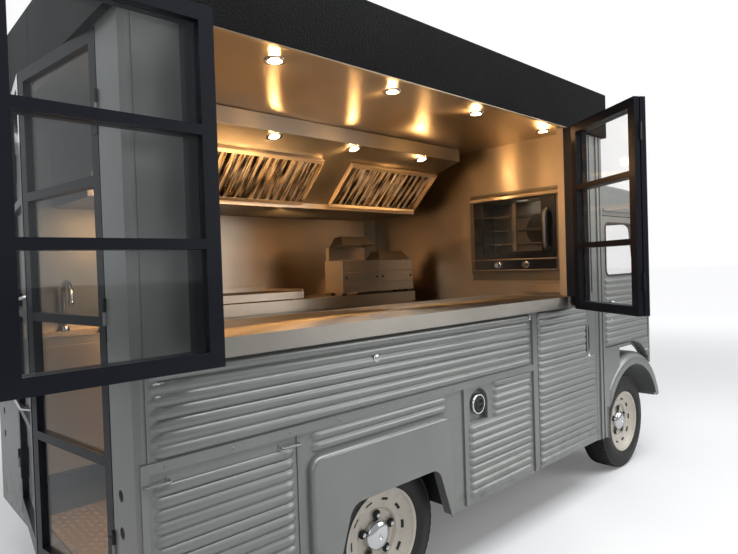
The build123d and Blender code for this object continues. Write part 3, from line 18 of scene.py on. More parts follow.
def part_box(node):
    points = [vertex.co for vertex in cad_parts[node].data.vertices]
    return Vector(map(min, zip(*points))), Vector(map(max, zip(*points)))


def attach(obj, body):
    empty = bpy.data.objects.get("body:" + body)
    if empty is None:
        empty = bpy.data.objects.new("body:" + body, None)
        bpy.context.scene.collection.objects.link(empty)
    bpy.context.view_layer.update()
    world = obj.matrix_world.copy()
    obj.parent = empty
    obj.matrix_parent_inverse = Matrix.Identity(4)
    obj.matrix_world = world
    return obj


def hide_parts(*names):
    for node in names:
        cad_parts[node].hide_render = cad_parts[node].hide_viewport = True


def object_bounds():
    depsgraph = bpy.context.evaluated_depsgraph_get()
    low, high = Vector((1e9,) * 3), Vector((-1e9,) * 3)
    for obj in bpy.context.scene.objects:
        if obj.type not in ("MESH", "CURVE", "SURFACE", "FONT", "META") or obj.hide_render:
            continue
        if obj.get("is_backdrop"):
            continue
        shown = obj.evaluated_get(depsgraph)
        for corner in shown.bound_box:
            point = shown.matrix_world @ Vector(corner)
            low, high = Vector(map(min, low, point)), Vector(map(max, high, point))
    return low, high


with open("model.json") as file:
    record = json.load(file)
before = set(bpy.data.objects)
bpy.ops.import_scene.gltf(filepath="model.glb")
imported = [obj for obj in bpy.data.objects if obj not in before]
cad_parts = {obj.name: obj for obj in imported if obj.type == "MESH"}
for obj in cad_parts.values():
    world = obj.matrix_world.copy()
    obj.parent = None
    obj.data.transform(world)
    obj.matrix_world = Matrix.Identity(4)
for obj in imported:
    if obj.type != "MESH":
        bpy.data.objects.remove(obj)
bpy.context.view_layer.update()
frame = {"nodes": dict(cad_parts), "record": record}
roof_low, roof_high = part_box("roof_box")
FASCIA_REAR = 0.030
ORIGIN = np.array([roof_low[0] + FASCIA_REAR, (roof_low[1] + roof_high[1]) / 2, 0.0])


def placed(points):
    """Drawing millimetres to frame metres: divide by a thousand, then add the drawing's origin."""
    return np.asarray(points, float) / 1000.0 + ORIGIN


# %% [markdown]
# ## Shader sums as plain expressions
# A finish is a small tree of nodes. Writing `0.3 + grain * 0.1` is easier to read than wiring Math nodes by
# hand, so one class wraps an output socket and turns each operator into its node. Everything else goes
# through `Nodes.node`, which takes a node's type, the settings that must be there first, and what its
# sockets hold.

# %% A socket that can be added and multiplied
class Signal:
    """A number or colour that varies over a surface, held as one output socket."""

    def __init__(self, nodes, socket):
        self.nodes, self.socket = nodes, socket

    def apply(self, operation, first, second):
        return self.nodes.node("ShaderNodeMath", {"operation": operation}, {0: first, 1: second})

    def __add__(self, other):
        return self.apply("ADD", self, other)

    def __rsub__(self, other):
        return self.apply("SUBTRACT", other, self)

    def __mul__(self, other):
        return self.apply("MULTIPLY", self, other)

    def __pow__(self, other):
        return self.apply("POWER", self, other)

    __radd__ = __add__
    __rmul__ = __mul__


class Nodes:
    """A node tree, and the one method that adds a node to it."""

    def __init__(self, tree):
        self.tree = tree

    def put(self, socket, value):
        if isinstance(value, Signal):
            self.tree.links.new(value.socket, socket)
        else:
            socket.default_value = value

    def node(self, kind, settings, sockets, output=0):
        made = self.tree.nodes.new(kind)
        for name, value in settings.items():
            setattr(made, name, value)
        for key, value in sockets.items():
            self.put(made.inputs[key], value)
        return Signal(self, made.outputs[output]) if made.outputs else made


class Finish(Nodes):
    """One material: a Principled shader and the patterns that feed it."""

    def __init__(self, name, color, **sockets):
        self.material = bpy.data.materials.new(name)
        self.material.use_nodes = True
        super().__init__(self.material.node_tree)
        self.shader = self.tree.nodes["Principled BSDF"]
        self.set(Base_Color=(*color, 1.0), **sockets)
        FINISHES[name] = self

    def set(self, **sockets):
        """Sets or links the shader's sockets; an underscore stands for a space."""
        for name, value in sockets.items():
            self.put(self.shader.inputs[name.replace("_", " ")], value)

    def here(self):
        return self.node("ShaderNodeTexCoord", {}, {}, "Object")

    def grain(self, size, stretch=(1, 1, 1), detail=3.0):
        """Noise between 0 and 1, with patches of about size metres, stretched along an axis."""
        place = self.node("ShaderNodeMapping", {}, {"Vector": self.here(), "Scale": stretch})
        return self.node("ShaderNodeTexNoise", {}, {"Vector": place, "Scale": 1.0 / size, "Detail": detail})

    def pebbles(self, size):
        """Round cells of about size metres, nought at their middles."""
        cells = {"Vector": self.here(), "Scale": 1.0 / size}
        return self.node("ShaderNodeTexVoronoi", {"feature": "F1"}, cells)

    def ramp(self, signal, low, high):
        """0 below low, 1 above high, smooth between."""
        smooth = {"interpolation_type": "SMOOTHSTEP"}
        return self.node("ShaderNodeMapRange", smooth, {0: signal, 1: low, 2: high})

    def blend(self, amount, first, second):
        """A colour between two colours or colour signals."""
        return self.node("ShaderNodeMix", {"data_type": "RGBA"}, {0: amount, 6: first, 7: second}, 2)

    def height(self):
        """How high the point stands, in metres."""
        return self.node("ShaderNodeSeparateXYZ", {}, {0: self.here()}, 2)

    def bump(self, signal, strength, distance):
        relief = {"Height": signal, "Strength": strength, "Distance": distance}
        self.set(Normal=self.node("ShaderNodeBump", {}, relief))


def rgb(red, green, blue):
    return (red, green, blue, 1.0)


FINISHES = {}
print("shader helpers ready")

# %% [markdown]
# ## Body paint
# The real body is a grey-silver coat with a faint green cast over pressed sheet. It is satin, so its light
# areas are broad and soft. A thin clear coat gives the fine bright lines along the ribs, slow noise varies
# the tone, and the lowest part is dulled by road dust.

# %% Body paint
paint = Finish("body_silver", (0.24, 0.25, 0.24), Metallic=0.35, Coat_Weight=0.3, Coat_Roughness=0.12)
tone = paint.grain(0.35, detail=4.0)
streaks = paint.ramp(paint.grain(0.05, (1, 1, 0.12), 4.0), 0.5, 0.85)
low_down = 1 - paint.ramp(paint.height(), 0.34, 0.62)
dust = low_down * paint.ramp(paint.grain(0.06, detail=5.0), 0.42, 0.75)
silver = paint.blend(tone, rgb(0.165, 0.173, 0.166), rgb(0.215, 0.224, 0.215))
worn = paint.blend(streaks * 0.18, silver, rgb(0.17, 0.172, 0.165))
paint.set(Base_Color=paint.blend(dust * 0.5, worn, rgb(0.115, 0.105, 0.09)),
          Roughness=0.3 + tone * 0.06 + dust * 0.2)
paint.bump(paint.grain(0.004, detail=2.0) * 0.3 + tone, 0.08, 0.004)
print("body paint:", len(paint.tree.nodes), "nodes")

# %% [markdown]
# ## Blacks
# No two blacks look the same. The glazed frames are a glossy blue-black powder coat with slight orange
# peel. The roof band has a coarse pebbled coat that breaks the light into specks. The chassis is dull
# underseal, the trim is matt, the seats are pebbled vinyl and the oven's door is gloss enamel.

# %% Blacks
frames = Finish("frame_black", (0.004, 0.005, 0.009), Specular_IOR_Level=0.22)
frames.set(Roughness=0.26 + frames.grain(0.05) * 0.1, Coat_Weight=0.12, Coat_Roughness=0.1)
frames.bump(frames.grain(0.006, detail=2.0), 0.06, 0.002)

roof = Finish("roof_black", (0.003, 0.003, 0.0035), Specular_IOR_Level=0.05)
roof.set(Roughness=0.46 + roof.grain(0.3) * 0.16)
roof.bump(roof.pebbles(0.0045) + roof.grain(0.012), 0.8, 0.0022)

chassis = Finish("chassis_black", (0.022, 0.021, 0.02), Specular_IOR_Level=0.3)
mud = chassis.ramp(chassis.grain(0.12, detail=5.0), 0.45, 0.8)
chassis.set(Roughness=0.72 + chassis.grain(0.05) * 0.2,
            Base_Color=chassis.blend(mud, rgb(0.016, 0.016, 0.016), rgb(0.045, 0.04, 0.034)))
chassis.bump(chassis.grain(0.008), 0.3, 0.003)

plastic = Finish("trim_plastic", (0.024, 0.024, 0.025), Specular_IOR_Level=0.35)
plastic.set(Roughness=0.5 + plastic.grain(0.02) * 0.12)
plastic.bump(plastic.grain(0.0015), 0.15, 0.001)

vinyl = Finish("seat_vinyl", (0.035, 0.033, 0.032), Coat_Weight=0.1)
vinyl.set(Roughness=0.42 + vinyl.grain(0.03) * 0.15)
vinyl.bump(vinyl.pebbles(0.002), 0.3, 0.001)

gloss = Finish("oven_black", (0.008, 0.008, 0.009), Coat_Weight=0.4)
gloss.set(Roughness=0.1 + gloss.grain(0.1, detail=4.0) * 0.12)
print("blacks ready")

# %% [markdown]
# ## Brushed steel
# The kitchen is bent from sheet brushed along its length. Fine scratches pull each lamp's reflection into a
# long streak across them. The shader's own anisotropy does that without noise, and a very stretched grain
# adds the visible lines. The filters' steel is stained by heat and grease, in dark and golden patches.

# %% Brushed steel
# The default colour is steel tinted warm: that warm tint is painted lamp light, over the warm lamps below.
def brushed(name, color=(0.52, 0.455, 0.375), rough=0.25, stretch=(3, 420, 420), pull=0.8, turn=0.25):
    """Steel scratched along the axis whose stretch is smallest; pull is how far a highlight is drawn out."""
    steel = Finish(name, color, Metallic=1.0, Anisotropic=pull, Anisotropic_Rotation=turn)
    lines = steel.grain(0.5, stretch, 2.0)
    smear = steel.grain(0.22, detail=4.0)
    low, high = rgb(*[c * 0.86 for c in color]), rgb(*[min(1.0, c * 1.08) for c in color])
    steel.set(Base_Color=steel.blend(smear, low, high), Roughness=rough + lines * 0.08 + smear * 0.1)
    steel.bump(lines, 0.2, 0.0008)
    return steel


brushed("stainless")
brushed("stainless_across", stretch=(420, 3, 420))
brushed("counter_steel", color=(0.25, 0.235, 0.21), rough=0.3)
baffle = brushed("baffle_steel", color=(0.7, 0.67, 0.64), rough=0.14, stretch=(420, 30, 30), pull=0.3)
stain = baffle.ramp(baffle.grain(0.016, (1, 0.1, 0.1), 4.0), 0.42, 0.62)
gilt = baffle.ramp(baffle.grain(0.02, (1, 0.15, 0.15), 3.0), 0.5, 0.7)
heated = baffle.blend(gilt, rgb(0.75, 0.73, 0.72), rgb(0.62, 0.42, 0.2))
baffle.set(Base_Color=baffle.blend(stain, heated, rgb(0.06, 0.045, 0.035)))
brushed("worn_steel", color=(0.2, 0.19, 0.18), rough=0.38, stretch=(30, 30, 30), pull=0.0)
print("steels:", [name for name in FINISHES if "steel" in name or "stain" in name])

# %% [markdown]
# ## Wheels, lamps and glass
# The rims are cream enamel with a little grime. Chrome is a clean mirror with faint smears. Glass lets the
# view through and shows only its sheen, so its alpha follows how steeply it is seen, and what shows is a
# white mirror.

# %% Rims, rubber, chrome and glass
cream = Finish("rim_cream", (0.45, 0.41, 0.35), Coat_Weight=0.25, Coat_Roughness=0.2)
grime = cream.ramp(cream.grain(0.03, detail=6.0), 0.5, 0.85)
cream.set(Base_Color=cream.blend(grime * 0.45, rgb(0.50, 0.455, 0.39), rgb(0.24, 0.2, 0.15)),
          Roughness=0.36 + grime * 0.25)
cream.bump(cream.grain(0.01), 0.05, 0.002)

rubber = Finish("tyre", (0.014, 0.014, 0.014), Specular_IOR_Level=0.35)
scuff = rubber.ramp(rubber.grain(0.05, detail=5.0), 0.45, 0.8)
rubber.set(Base_Color=rubber.blend(scuff * 0.5, rgb(0.011, 0.011, 0.012), rgb(0.035, 0.034, 0.032)),
           Roughness=0.6 + scuff * 0.2)
rubber.bump(rubber.grain(0.003), 0.2, 0.001)

chrome = Finish("lamp_chrome", (0.58, 0.59, 0.6), Metallic=1.0)
chrome.set(Roughness=0.07 + chrome.grain(0.05, detail=4.0) * 0.1)

iron = Finish("cast_iron", (0.05, 0.048, 0.046), Metallic=0.6)
iron.set(Roughness=0.5 + iron.grain(0.03) * 0.2)
iron.bump(iron.grain(0.004), 0.4, 0.002)


def clear(name, tint, veil, sheen, rough=0.02, metallic=1.0):
    """A clear sheet: alpha = veil + sheen times facing to the fourth, with faint wiping streaks."""
    sheet = Finish(name, tint, Roughness=rough, Metallic=metallic)
    rim = sheet.node("ShaderNodeLayerWeight", {}, {"Blend": 0.5}, "Facing") ** 4
    wipe = sheet.ramp(sheet.grain(0.25, (1, 1, 0.3), 4.0), 0.45, 0.95)
    sheet.set(Alpha=veil + rim * sheen + wipe * 0.012)


clear("glass", (0.93, 0.97, 0.97), 0.012, 0.5)
clear("lens", (0.85, 0.87, 0.88), 0.25, 0.6, 0.05, 0.2)

glow = Finish("led_lens", (1.0, 0.9, 0.7), Roughness=0.3, Emission_Strength=14.0)
glow.set(Emission_Color=glow.blend(glow.grain(0.02), rgb(1.0, 0.78, 0.42), rgb(1.0, 0.85, 0.55)))

print("finishes:", len(FINISHES))

# %% [markdown]
# ## Dress the frame
# A node whose shape is right keeps its mesh and only gets a finish, by its material slot. Some nodes face
# the length and need the steel that is brushed across, and the counter is worn to a darker grey.

# %% Finishes on the frame's own nodes
SLOT_OF = {part["node"]: part["material_slot"] for part in frame["record"]["subparts"]}
FINISH_OF = {"counter": "counter_steel", **dict.fromkeys(("lining", "oven", "sink"), "stainless_across")}
for name, node in frame["nodes"].items():
    finish = FINISHES[FINISH_OF.get(name, SLOT_OF[name])]
    if not node.material_slots:
        node.data.materials.append(finish.material)
    for slot in node.material_slots:
        slot.link = "OBJECT"
        slot.material = finish.material
print("dressed", len(SLOT_OF), "nodes")

# %% [markdown]
# ## Surfaces from arrays
# Every new piece is points in a grid and the quads between them. `shell` joins several grids or prisms into
# one mesh, turns the normals outwards, marks it with the body it rides on and gives it its finish's
# material.

# %% Mesh helpers
X_AXIS, Y_AXIS, Z_AXIS = (1, 0, 0), (0, 1, 0), (0, 0, 1)
TO_REAR, TO_RIGHT = (-1, 0, 0), (0, -1, 0)
STEELS = ("stainless_across", "counter_steel", "baffle_steel", "worn_steel")
SLOT_BEHIND = {"oven_black": "trim_plastic", "lens": "glass", "led_lens": "glass",
               **dict.fromkeys(STEELS, "stainless")}


def quads(rows, columns, wrap_rows=False, wrap_columns=False):
    """The quads of a grid: each joins a point with the next in its row and in the next row."""
    r = np.arange(rows if wrap_rows else rows - 1)[:, None]
    c = np.arange(columns if wrap_columns else columns - 1)[None, :]
    r2, c2 = (r + 1) % rows, (c + 1) % columns
    corner = [r * columns + c, r * columns + c2, r2 * columns + c2, r2 * columns + c]
    faces = np.stack([np.broadcast_to(k, (r.size, c.size)) for k in corner], -1).reshape(-1, 4)
    return [tuple(face) for face in faces.tolist()]


def shell(name, parts, finish, body="body", smooth=35.0, bevel=0.0):
    """Joins parts, each its points in drawing millimetres and its faces, into one piece."""
    points, faces, start = [], [], 0
    for part_points, part_faces in parts:
        flat = np.asarray(part_points, float).reshape(-1, 3)
        points.append(flat)
        faces += [tuple(i + start for i in face) for face in part_faces]
        start += len(flat)
    mesh = bpy.data.meshes.new(name)
    mesh.from_pydata(placed(np.concatenate(points)).tolist(), [], faces)
    work = bmesh.new()
    work.from_mesh(mesh)
    bmesh.ops.remove_doubles(work, verts=work.verts, dist=1e-6)
    bmesh.ops.recalc_face_normals(work, faces=work.faces)
    work.to_mesh(mesh)
    work.free()
    mesh.materials.append(FINISHES[finish].material)
    mesh.polygons.foreach_set("use_smooth", [True] * len(mesh.polygons))
    mesh.set_sharp_from_angle(angle=math.radians(smooth))
    piece = bpy.data.objects.new(name, mesh)
    bpy.context.scene.collection.objects.link(piece)
    if bevel:
        rounding = piece.modifiers.new("rounding", "BEVEL")
        rounding.width, rounding.segments, rounding.limit_method = bevel / 1000.0, 2, "ANGLE"
    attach(piece, body)
    return piece


def prism(loop, start, end):
    """A closed outline of 3D points carried from start to end, with both ends closed."""
    loop = np.asarray(loop, float)
    rings = np.stack([loop + np.asarray(start, float), loop + np.asarray(end, float)])
    n = len(loop)
    return rings, quads(2, n, wrap_columns=True) + [tuple(range(n)), tuple(range(2 * n - 1, n - 1, -1))]


def brick(x, y, z):
    """A box between two values on each axis, as a rectangle carried along X."""
    loop = [(0, y[0], z[0]), (0, y[1], z[0]), (0, y[1], z[1]), (0, y[0], z[1])]
    return prism(loop, (x[0], 0, 0), (x[1], 0, 0))


def pipe(path, radius, sides=14):
    """A circle carried along a path; each ring stands square to the path there."""
    path = np.asarray(path, float)
    along = np.gradient(path, axis=0)
    along /= np.linalg.norm(along, axis=1)[:, None]
    up = np.array(Z_AXIS if abs(along[:, 2]).max() < 0.95 else (0.31, 0.95, 0.05))
    across = np.cross(along, up)
    across /= np.linalg.norm(across, axis=1)[:, None]
    other = np.cross(along, across)
    angle = np.linspace(0, 2 * np.pi, sides, endpoint=False)[None, :, None]
    circle = np.cos(angle) * across[:, None] + np.sin(angle) * other[:, None]
    rings = path[:, None] + np.broadcast_to(radius, len(path))[:, None, None] * circle
    n = len(path)
    ends = [tuple(range(sides)), tuple(range(n * sides - 1, (n - 1) * sides - 1, -1))]
    return rings, quads(n, sides, wrap_columns=True) + ends


def lathe(profile, centre, axis, steps=72):
    """A profile of (radius, distance along the axis) turned about the axis; radius 0 closes to a point."""
    profile = np.asarray(profile, float)
    axis = np.asarray(axis, float) / np.linalg.norm(axis)
    side = np.cross(axis, Z_AXIS if abs(axis[2]) < 0.9 else X_AXIS)
    side /= np.linalg.norm(side)
    other = np.cross(axis, side)
    angle = np.linspace(0, 2 * np.pi, steps, endpoint=False)[:, None, None]
    ring = np.cos(angle) * side + np.sin(angle) * other
    points = np.asarray(centre, float) + profile[None, :, :1] * ring + profile[None, :, 1:] * axis
    return points, quads(steps, len(profile), wrap_rows=True)


def carry(section, origin, across, out, along):
    """A closed section, drawn across and out from an origin, carried along a third direction."""
    section, origin = np.asarray(section, float), np.asarray(origin, float)
    loop = origin + section[:, :1] * np.asarray(across, float) + section[:, 1:] * np.asarray(out, float)
    return prism(loop, (0, 0, 0), along)


def border(x, outer_y, outer_z, inner_y, inner_z):
    """Four bricks round an opening in an upright wall."""
    return [brick(x, outer_y, (outer_z[0], inner_z[0])), brick(x, outer_y, (inner_z[1], outer_z[1])),
            brick(x, (outer_y[0], inner_y[0]), inner_z), brick(x, (inner_y[1], outer_y[1]), inner_z)]


print("mesh helpers ready")

# %% [markdown]
# ## Corrugated skins
# The body's sheets are pressed into level ribs, 41 mm apart, to stiffen them. The frame has a plain ridge
# for each. The looks need the full wave, so each panel gets a skin whose height is a formula. A rib's
# section is nearly half round, and near its ends the same distance also grows along the rib, so the ends
# close into rounded tongues.

# %% Rib formula and skin
RIGHT, LEFT = -1.0, 1.0
BODY_HALF = 985.0
PITCH, WAVE, CLEAR = 41.0, 11.0, 0.4
EDGE_ROOM = 24.0
ALONG_STEP, UP_STEP = 4, 2.9
SHEET = 1.2


class RibRows:
    """Level ribs: the height of each row, and where its tongues end at the low and high X."""

    def __init__(self, first, count, x_low, x_high, taper=40.0):
        self.rows = first + PITCH * np.arange(count)
        self.low = np.broadcast_to(np.asarray(x_low, float), count)
        self.high = np.broadcast_to(np.asarray(x_high, float), count)
        self.taper = taper

    def height(self, x, z):
        """H (1 - r^2)^0.8, r^2 = (dz / half pitch)^2 + (1 - d / taper)^2, d the way to the tongue's end."""
        k = np.clip(np.rint((z - self.rows[0]) / PITCH), 0, len(self.rows) - 1).astype(int)
        end = np.minimum(x - self.low[k], self.high[k] - x)
        r2 = ((z - self.rows[k]) / (PITCH / 2)) ** 2 + np.clip(1 - end / self.taper, 0, None) ** 2
        return WAVE * np.clip(1 - r2, 0, 1) ** 0.8


def rows_between(x_range, z_range, inset=14.0, taper=40.0):
    """The frame's rows: as many as fit, centred between two heights, their tongues inset at both ends."""
    count = int((z_range[1] - z_range[0] - EDGE_ROOM) // PITCH) + 1
    first = (sum(z_range) - (count - 1) * PITCH) / 2
    return RibRows(first, count, x_range[0] + inset, x_range[1] - inset, taper)


def skin_part(side, x_range, z_range, rows, lower=None):
    """A closed slab over one panel: a height field outside, flat inside. lower gives x_low at each z."""
    reach = rows.taper + ALONG_STEP
    rises = [np.arange(end - ALONG_STEP, end + reach, ALONG_STEP) for end in np.unique(rows.low)]
    falls = [np.arange(end - reach, end + ALONG_STEP, ALONG_STEP) for end in np.unique(rows.high)]
    x = np.unique(np.clip(np.concatenate([x_range] + rises + falls), *x_range).round(2))
    z = np.linspace(*z_range, int((z_range[1] - z_range[0]) / UP_STEP) + 2)
    u, w = np.meshgrid(x, z)
    if lower is not None:
        start = lower(z)[:, None]
        u = start + (u - x_range[0]) / (x_range[1] - x_range[0]) * (x_range[1] - start)
    front = np.stack([u, side * (BODY_HALF + CLEAR + rows.height(u, w)), w], -1)
    r, c = u.shape
    edge = np.concatenate([np.arange(c), np.arange(1, r) * c + c - 1,
                           (r - 1) * c + np.arange(c - 2, -1, -1), np.arange(r - 2, 0, -1) * c]).tolist()
    back = front.reshape(-1, 3)[edge].copy()
    back[:, 1] = side * (BODY_HALF - SHEET)
    n, base = len(edge), r * c
    rim = [(edge[i], edge[(i + 1) % n], base + (i + 1) % n, base + i) for i in range(n)]
    points = np.concatenate([front.reshape(-1, 3), back])
    return points, quads(r, c) + rim + [tuple(range(base, base + n))]


print("rib height", WAVE, "pitch", PITCH)

# %% [markdown]
# ## Wall skins
# Each wall is several pressed panels. A row of the tables below is one panel: the X and Z ranges of its
# skin, then the X and Z ranges between the frame's own seams, over which its ribs are spread.

# %% Skins of the walls
RIGHT_PANELS = (((41, 598), (352, 892), (36, 600), (364, 894)),
                ((655, 1496), (840, 931), (650, 1500), (839, 935)),
                ((1640, 2260), (352, 742), (1638, 2262), (364, 745)),
                ((1856, 2260), (746, 931), (1852, 2262), (745, 935)),
                ((41, 2260), (972, 1262), (36, 2262), (969, 1263)))
LEFT_PANELS = (((41, 646), (352, 931), (36, 650), (364, 935)),
               ((655, 1496), (840, 931), (650, 1500), (839, 935)),
               ((1504, 3061), (352, 931), (1500, 3063), (364, 935)),
               ((41, 3061), (972, 2382), (36, 3063), (969, 2370)))
for word, side, panels in (("right", RIGHT, RIGHT_PANELS), ("left", LEFT, LEFT_PANELS)):
    parts = [skin_part(side, x, z, rows_between(rib_x, rib_z)) for x, z, rib_x, rib_z in panels]
    skin = shell("ribbed_wall_" + word, parts, "body_silver", smooth=60)
    print(skin.name, len(skin.data.polygons), "faces")

# %% [markdown]
# ## Door skins
# The sliding door's upper ribs stop short of its recessed handle, so its rows end at two places and its
# skin is laid in four pieces round the recess. The cab door's lower front corner follows the wheel arch, so
# the lower skin's front edge is a circle.

# %% Skins of the doors
SLIDE_FIRST, SLIDE_COUNT = 381.0, 22
SLIDE_X, SLIDE_Z = (2331, 3057), (350, 1258)
RECESS_X, RECESS_Z = (2900, 2980), (935, 1140)
slide_z = SLIDE_FIRST + PITCH * np.arange(SLIDE_COUNT)
slide_high = np.where(slide_z > 915.0, 2939.0, 3041.0)
slide_rows = RibRows(SLIDE_FIRST, SLIDE_COUNT, 2329.0, slide_high)
parts = [skin_part(RIGHT, x, z, slide_rows) for x, z in
         ((SLIDE_X, (SLIDE_Z[0], RECESS_Z[0])), ((SLIDE_X[0], RECESS_X[0]), (RECESS_Z[0], SLIDE_Z[1])),
          ((RECESS_X[1], SLIDE_X[1]), (RECESS_Z[0], SLIDE_Z[1])), (RECESS_X, (RECESS_Z[1], SLIDE_Z[1])))]
shell("ribbed_sliding_door", parts, "body_silver", smooth=60)

ARC_X, ARC_RADIUS, DOOR_LOW_Z = 3600.0, 403.0, 955.0
DOOR_X, DOOR_Z = (3208, 3906), (957, 1440)
TIP_X, TIP_Z, TIP_END = (3600, 3923), (815, 953), 3921.0
tip_z = DOOR_LOW_Z + 20 - PITCH * np.arange(3, 0, -1)


def arc_edge(z):
    """The door's lower edge: a circle about a point behind and below it."""
    drop = z - DOOR_LOW_Z + ARC_RADIUS
    return ARC_X + np.sqrt(np.clip(ARC_RADIUS ** 2 - drop ** 2, 0, None)) + 3


door_rows = rows_between((3206, 3907), (963, 1435), inset=4, taper=16)
tip_rows = RibRows(tip_z[0], 3, arc_edge(tip_z - 12) + 2, TIP_END, taper=16)
for word, side in (("right", RIGHT), ("left", LEFT)):
    parts = [skin_part(side, DOOR_X, DOOR_Z, door_rows), skin_part(side, TIP_X, TIP_Z, tip_rows, arc_edge)]
    shell("ribbed_cab_door_" + word, parts, "body_silver", "cab_door_" + word, smooth=60)
print("door ribs", len(door_rows.rows), "tip ribs", len(tip_rows.rows))

# %% [markdown]
# ## Roof band and ceiling edge
# The black band is folded sheet with upright joints, and a pale strip closes the joint between it and the
# ceiling. The strip is one long section carried along the hatch.

# %% Ceiling edge and band joints
HATCH_X = (234.0, 2690.0)
CEILING_Z, BAND_Y = 2400.0, 1012.6
ROOF_END_X, ROOF_TOP = 3229.5, (2669.5, 2670.8)
OVERLAP = 30
edge = [(-1011, 2381.6), (-1011, 2378.6), (-989, 2378.6), (-989, 2381.6)]
strip_long = HATCH_X[1] - HATCH_X[0] + 2 * OVERLAP
strip = carry(edge, (HATCH_X[0] - OVERLAP, 0, 0), Y_AXIS, Z_AXIS, (strip_long, 0, 0))
shell("ceiling_edge", [strip], "stainless", bevel=0.6)
flashing = [brick((-29.5, ROOF_END_X), (-BAND_Y, BAND_Y), ROOF_TOP)]
flashing += [brick((-30.6, -29.6), (y - 9, y + 9), (2384, 2669)) for y in (-61.0, 259.0)]
shell("band_joints", flashing, "roof_black", bevel=0.4)
print("band joints", len(flashing))

# %% [markdown]
# ## Extractor hood
# The hood is a folded steel box: an upright face, a shallow soffit with three lamps, a slope of filters and
# a gutter that catches the grease. It is one section carried along X, with its folds rounded. It stops
# short of the oven wall.

# %% Hood and gutter
HOOD_X = (302.0, 2735.0)
HOOD = [(940, 2398), (-145, 2398), (-145, 2308), (60, 2252), (330, 1992), (330, 1960), (940, 1960)]
GUTTER = [(322, 1996), (322, 1962), (356, 1962), (356, 1988),
          (352.5, 1988), (352.5, 1966), (326, 1966), (326, 1996)]
HOOD_START, HOOD_LONG = (HOOD_X[0], 0, 0), (HOOD_X[1] - HOOD_X[0], 0, 0)
hood = shell("hood_canopy", [carry(HOOD, HOOD_START, Y_AXIS, Z_AXIS, HOOD_LONG)], "counter_steel", bevel=3)
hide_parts("hood")
shell("hood_gutter", [carry(GUTTER, HOOD_START, Y_AXIS, Z_AXIS, HOOD_LONG)], "stainless", bevel=0.8)
print("hood", HOOD_LONG[0], "mm long")

# %% [markdown]
# ## Baffle filters
# A baffle filter is two layers of folded channels, the front ones open to the back and the back ones open
# to the front, each over the other's gap, in a tray. A channel is one section carried down the slope, and a
# loop repeats it.

# %% Filters on the slope
SLOPE_TOP, SLOPE_LOW = np.array([0.0, 60.0, 2252.0]), np.array([0.0, 330.0, 1992.0])
down = SLOPE_LOW - SLOPE_TOP
SLOPE_LONG = float(np.linalg.norm(down))
down = down / SLOPE_LONG
proud = np.array([0.0, down[2], -down[1]])
BAFFLE_PITCH, TRAY_MARGIN = 58.0, 20
TRAYS_X = ((362.0, 1623.0), (1857.0, 2705.0))
FRONT_CHANNEL = [(-19, 9), (-15, 25), (15, 25), (19, 9), (17, 9), (13.5, 23.5), (-13.5, 23.5), (-17, 9)]
BACK_CHANNEL = [(-19, 19), (-15, 3), (15, 3), (19, 19), (17, 19), (13.5, 4.5), (-13.5, 4.5), (-17, 19)]
RAIL = [(0, 0.5), (0, 30), (24, 30), (24, 27), (3, 27), (3, 0.5)]
STILE = [(0, 0.5), (0, 30), (4, 30), (4, 0.5)]


def on_slope(x, way):
    """The point of the slope at an X, a way down from its top."""
    return SLOPE_TOP + (x, 0, 0) + down * way


baffles, trays = [], []
for low, high in TRAYS_X:
    count = int((high - low - 2 * TRAY_MARGIN) // BAFFLE_PITCH)
    first = (low + high - (count - 1) * BAFFLE_PITCH) / 2
    for n in range(count):
        for section, shift in ((FRONT_CHANNEL, 0.0), (BACK_CHANNEL, BAFFLE_PITCH / 2)):
            x = first + n * BAFFLE_PITCH + shift
            if x < high - 24:
                baffles.append(carry(section, on_slope(x, 26), X_AXIS, proud, down * (SLOPE_LONG - 58)))
    for start, sign in ((6, 1), (SLOPE_LONG - 12, -1)):
        turned_rail = [(sign * s, n) for s, n in RAIL]
        trays.append(carry(turned_rail, on_slope(low, start), down, proud, (high - low, 0, 0)))
    for x in (low, high - 4, (low + high) / 2):
        trays.append(carry(STILE, on_slope(x, 9), X_AXIS, proud, down * (SLOPE_LONG - 24)))
shell("filter_baffles", baffles, "baffle_steel", smooth=20)
shell("filter_trays", trays, "stainless", bevel=0.6)
print("baffles", len(baffles))

# %% [markdown]
# ## Built-in oven
# The oven fills a cut-out in the end wall. A flanged plate with rivets covers the joint, a bright brow
# shades the door, and the door is black-edged glass over three racks. It replaces the frame's plain box,
# and everything is placed from the plane of the wall.

# %% Oven case and door
WALL_X, DOOR_X_FRONT = 2878.0, 2867
FLANGE_Y, FLANGE_Z = (-950, -118), (1430, 2064)
TRIM_Y, TRIM_Z = (-868.0, -139.0), (1494.0, 2012.0)
BOX_Y, BOX_Z = (-838, -107), (1482, 2028)
CAVITY_Y, CAVITY_Z = (-812, -166), (1590, 1996)
DOOR_EDGE_Y, DOOR_EDGE_Z = (-818.0, -160.0), (1584.0, 2000.0)
PANE_Y, PANE_Z = (-715.0, -238.0), (1632.0, 1988.0)
BROW = [(40, 2046), (20, 2042), (4, 2028), (0, 2006), (4, 2004), (10, 2022), (24, 2034), (40, 2037)]
DOME = [(0, 3.2), (2.5, 2.9), (4.6, 1.8), (5.5, 0), (5.5, -1.5), (0, -1.5)]
case = border((WALL_X, 2899.5), TRIM_Y, TRIM_Z, (-820, -158), (1582, 2002))
case += border((2902, 3135), BOX_Y, BOX_Z, CAVITY_Y, CAVITY_Z) + [brick((3125, 3139), BOX_Y, BOX_Z)]
case += border((2894.5, 2899.6), FLANGE_Y, FLANGE_Z, (-860, -150), (1500, 2005))
oven = shell("oven_case", case, "counter_steel", bevel=1.2)
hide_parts("oven")
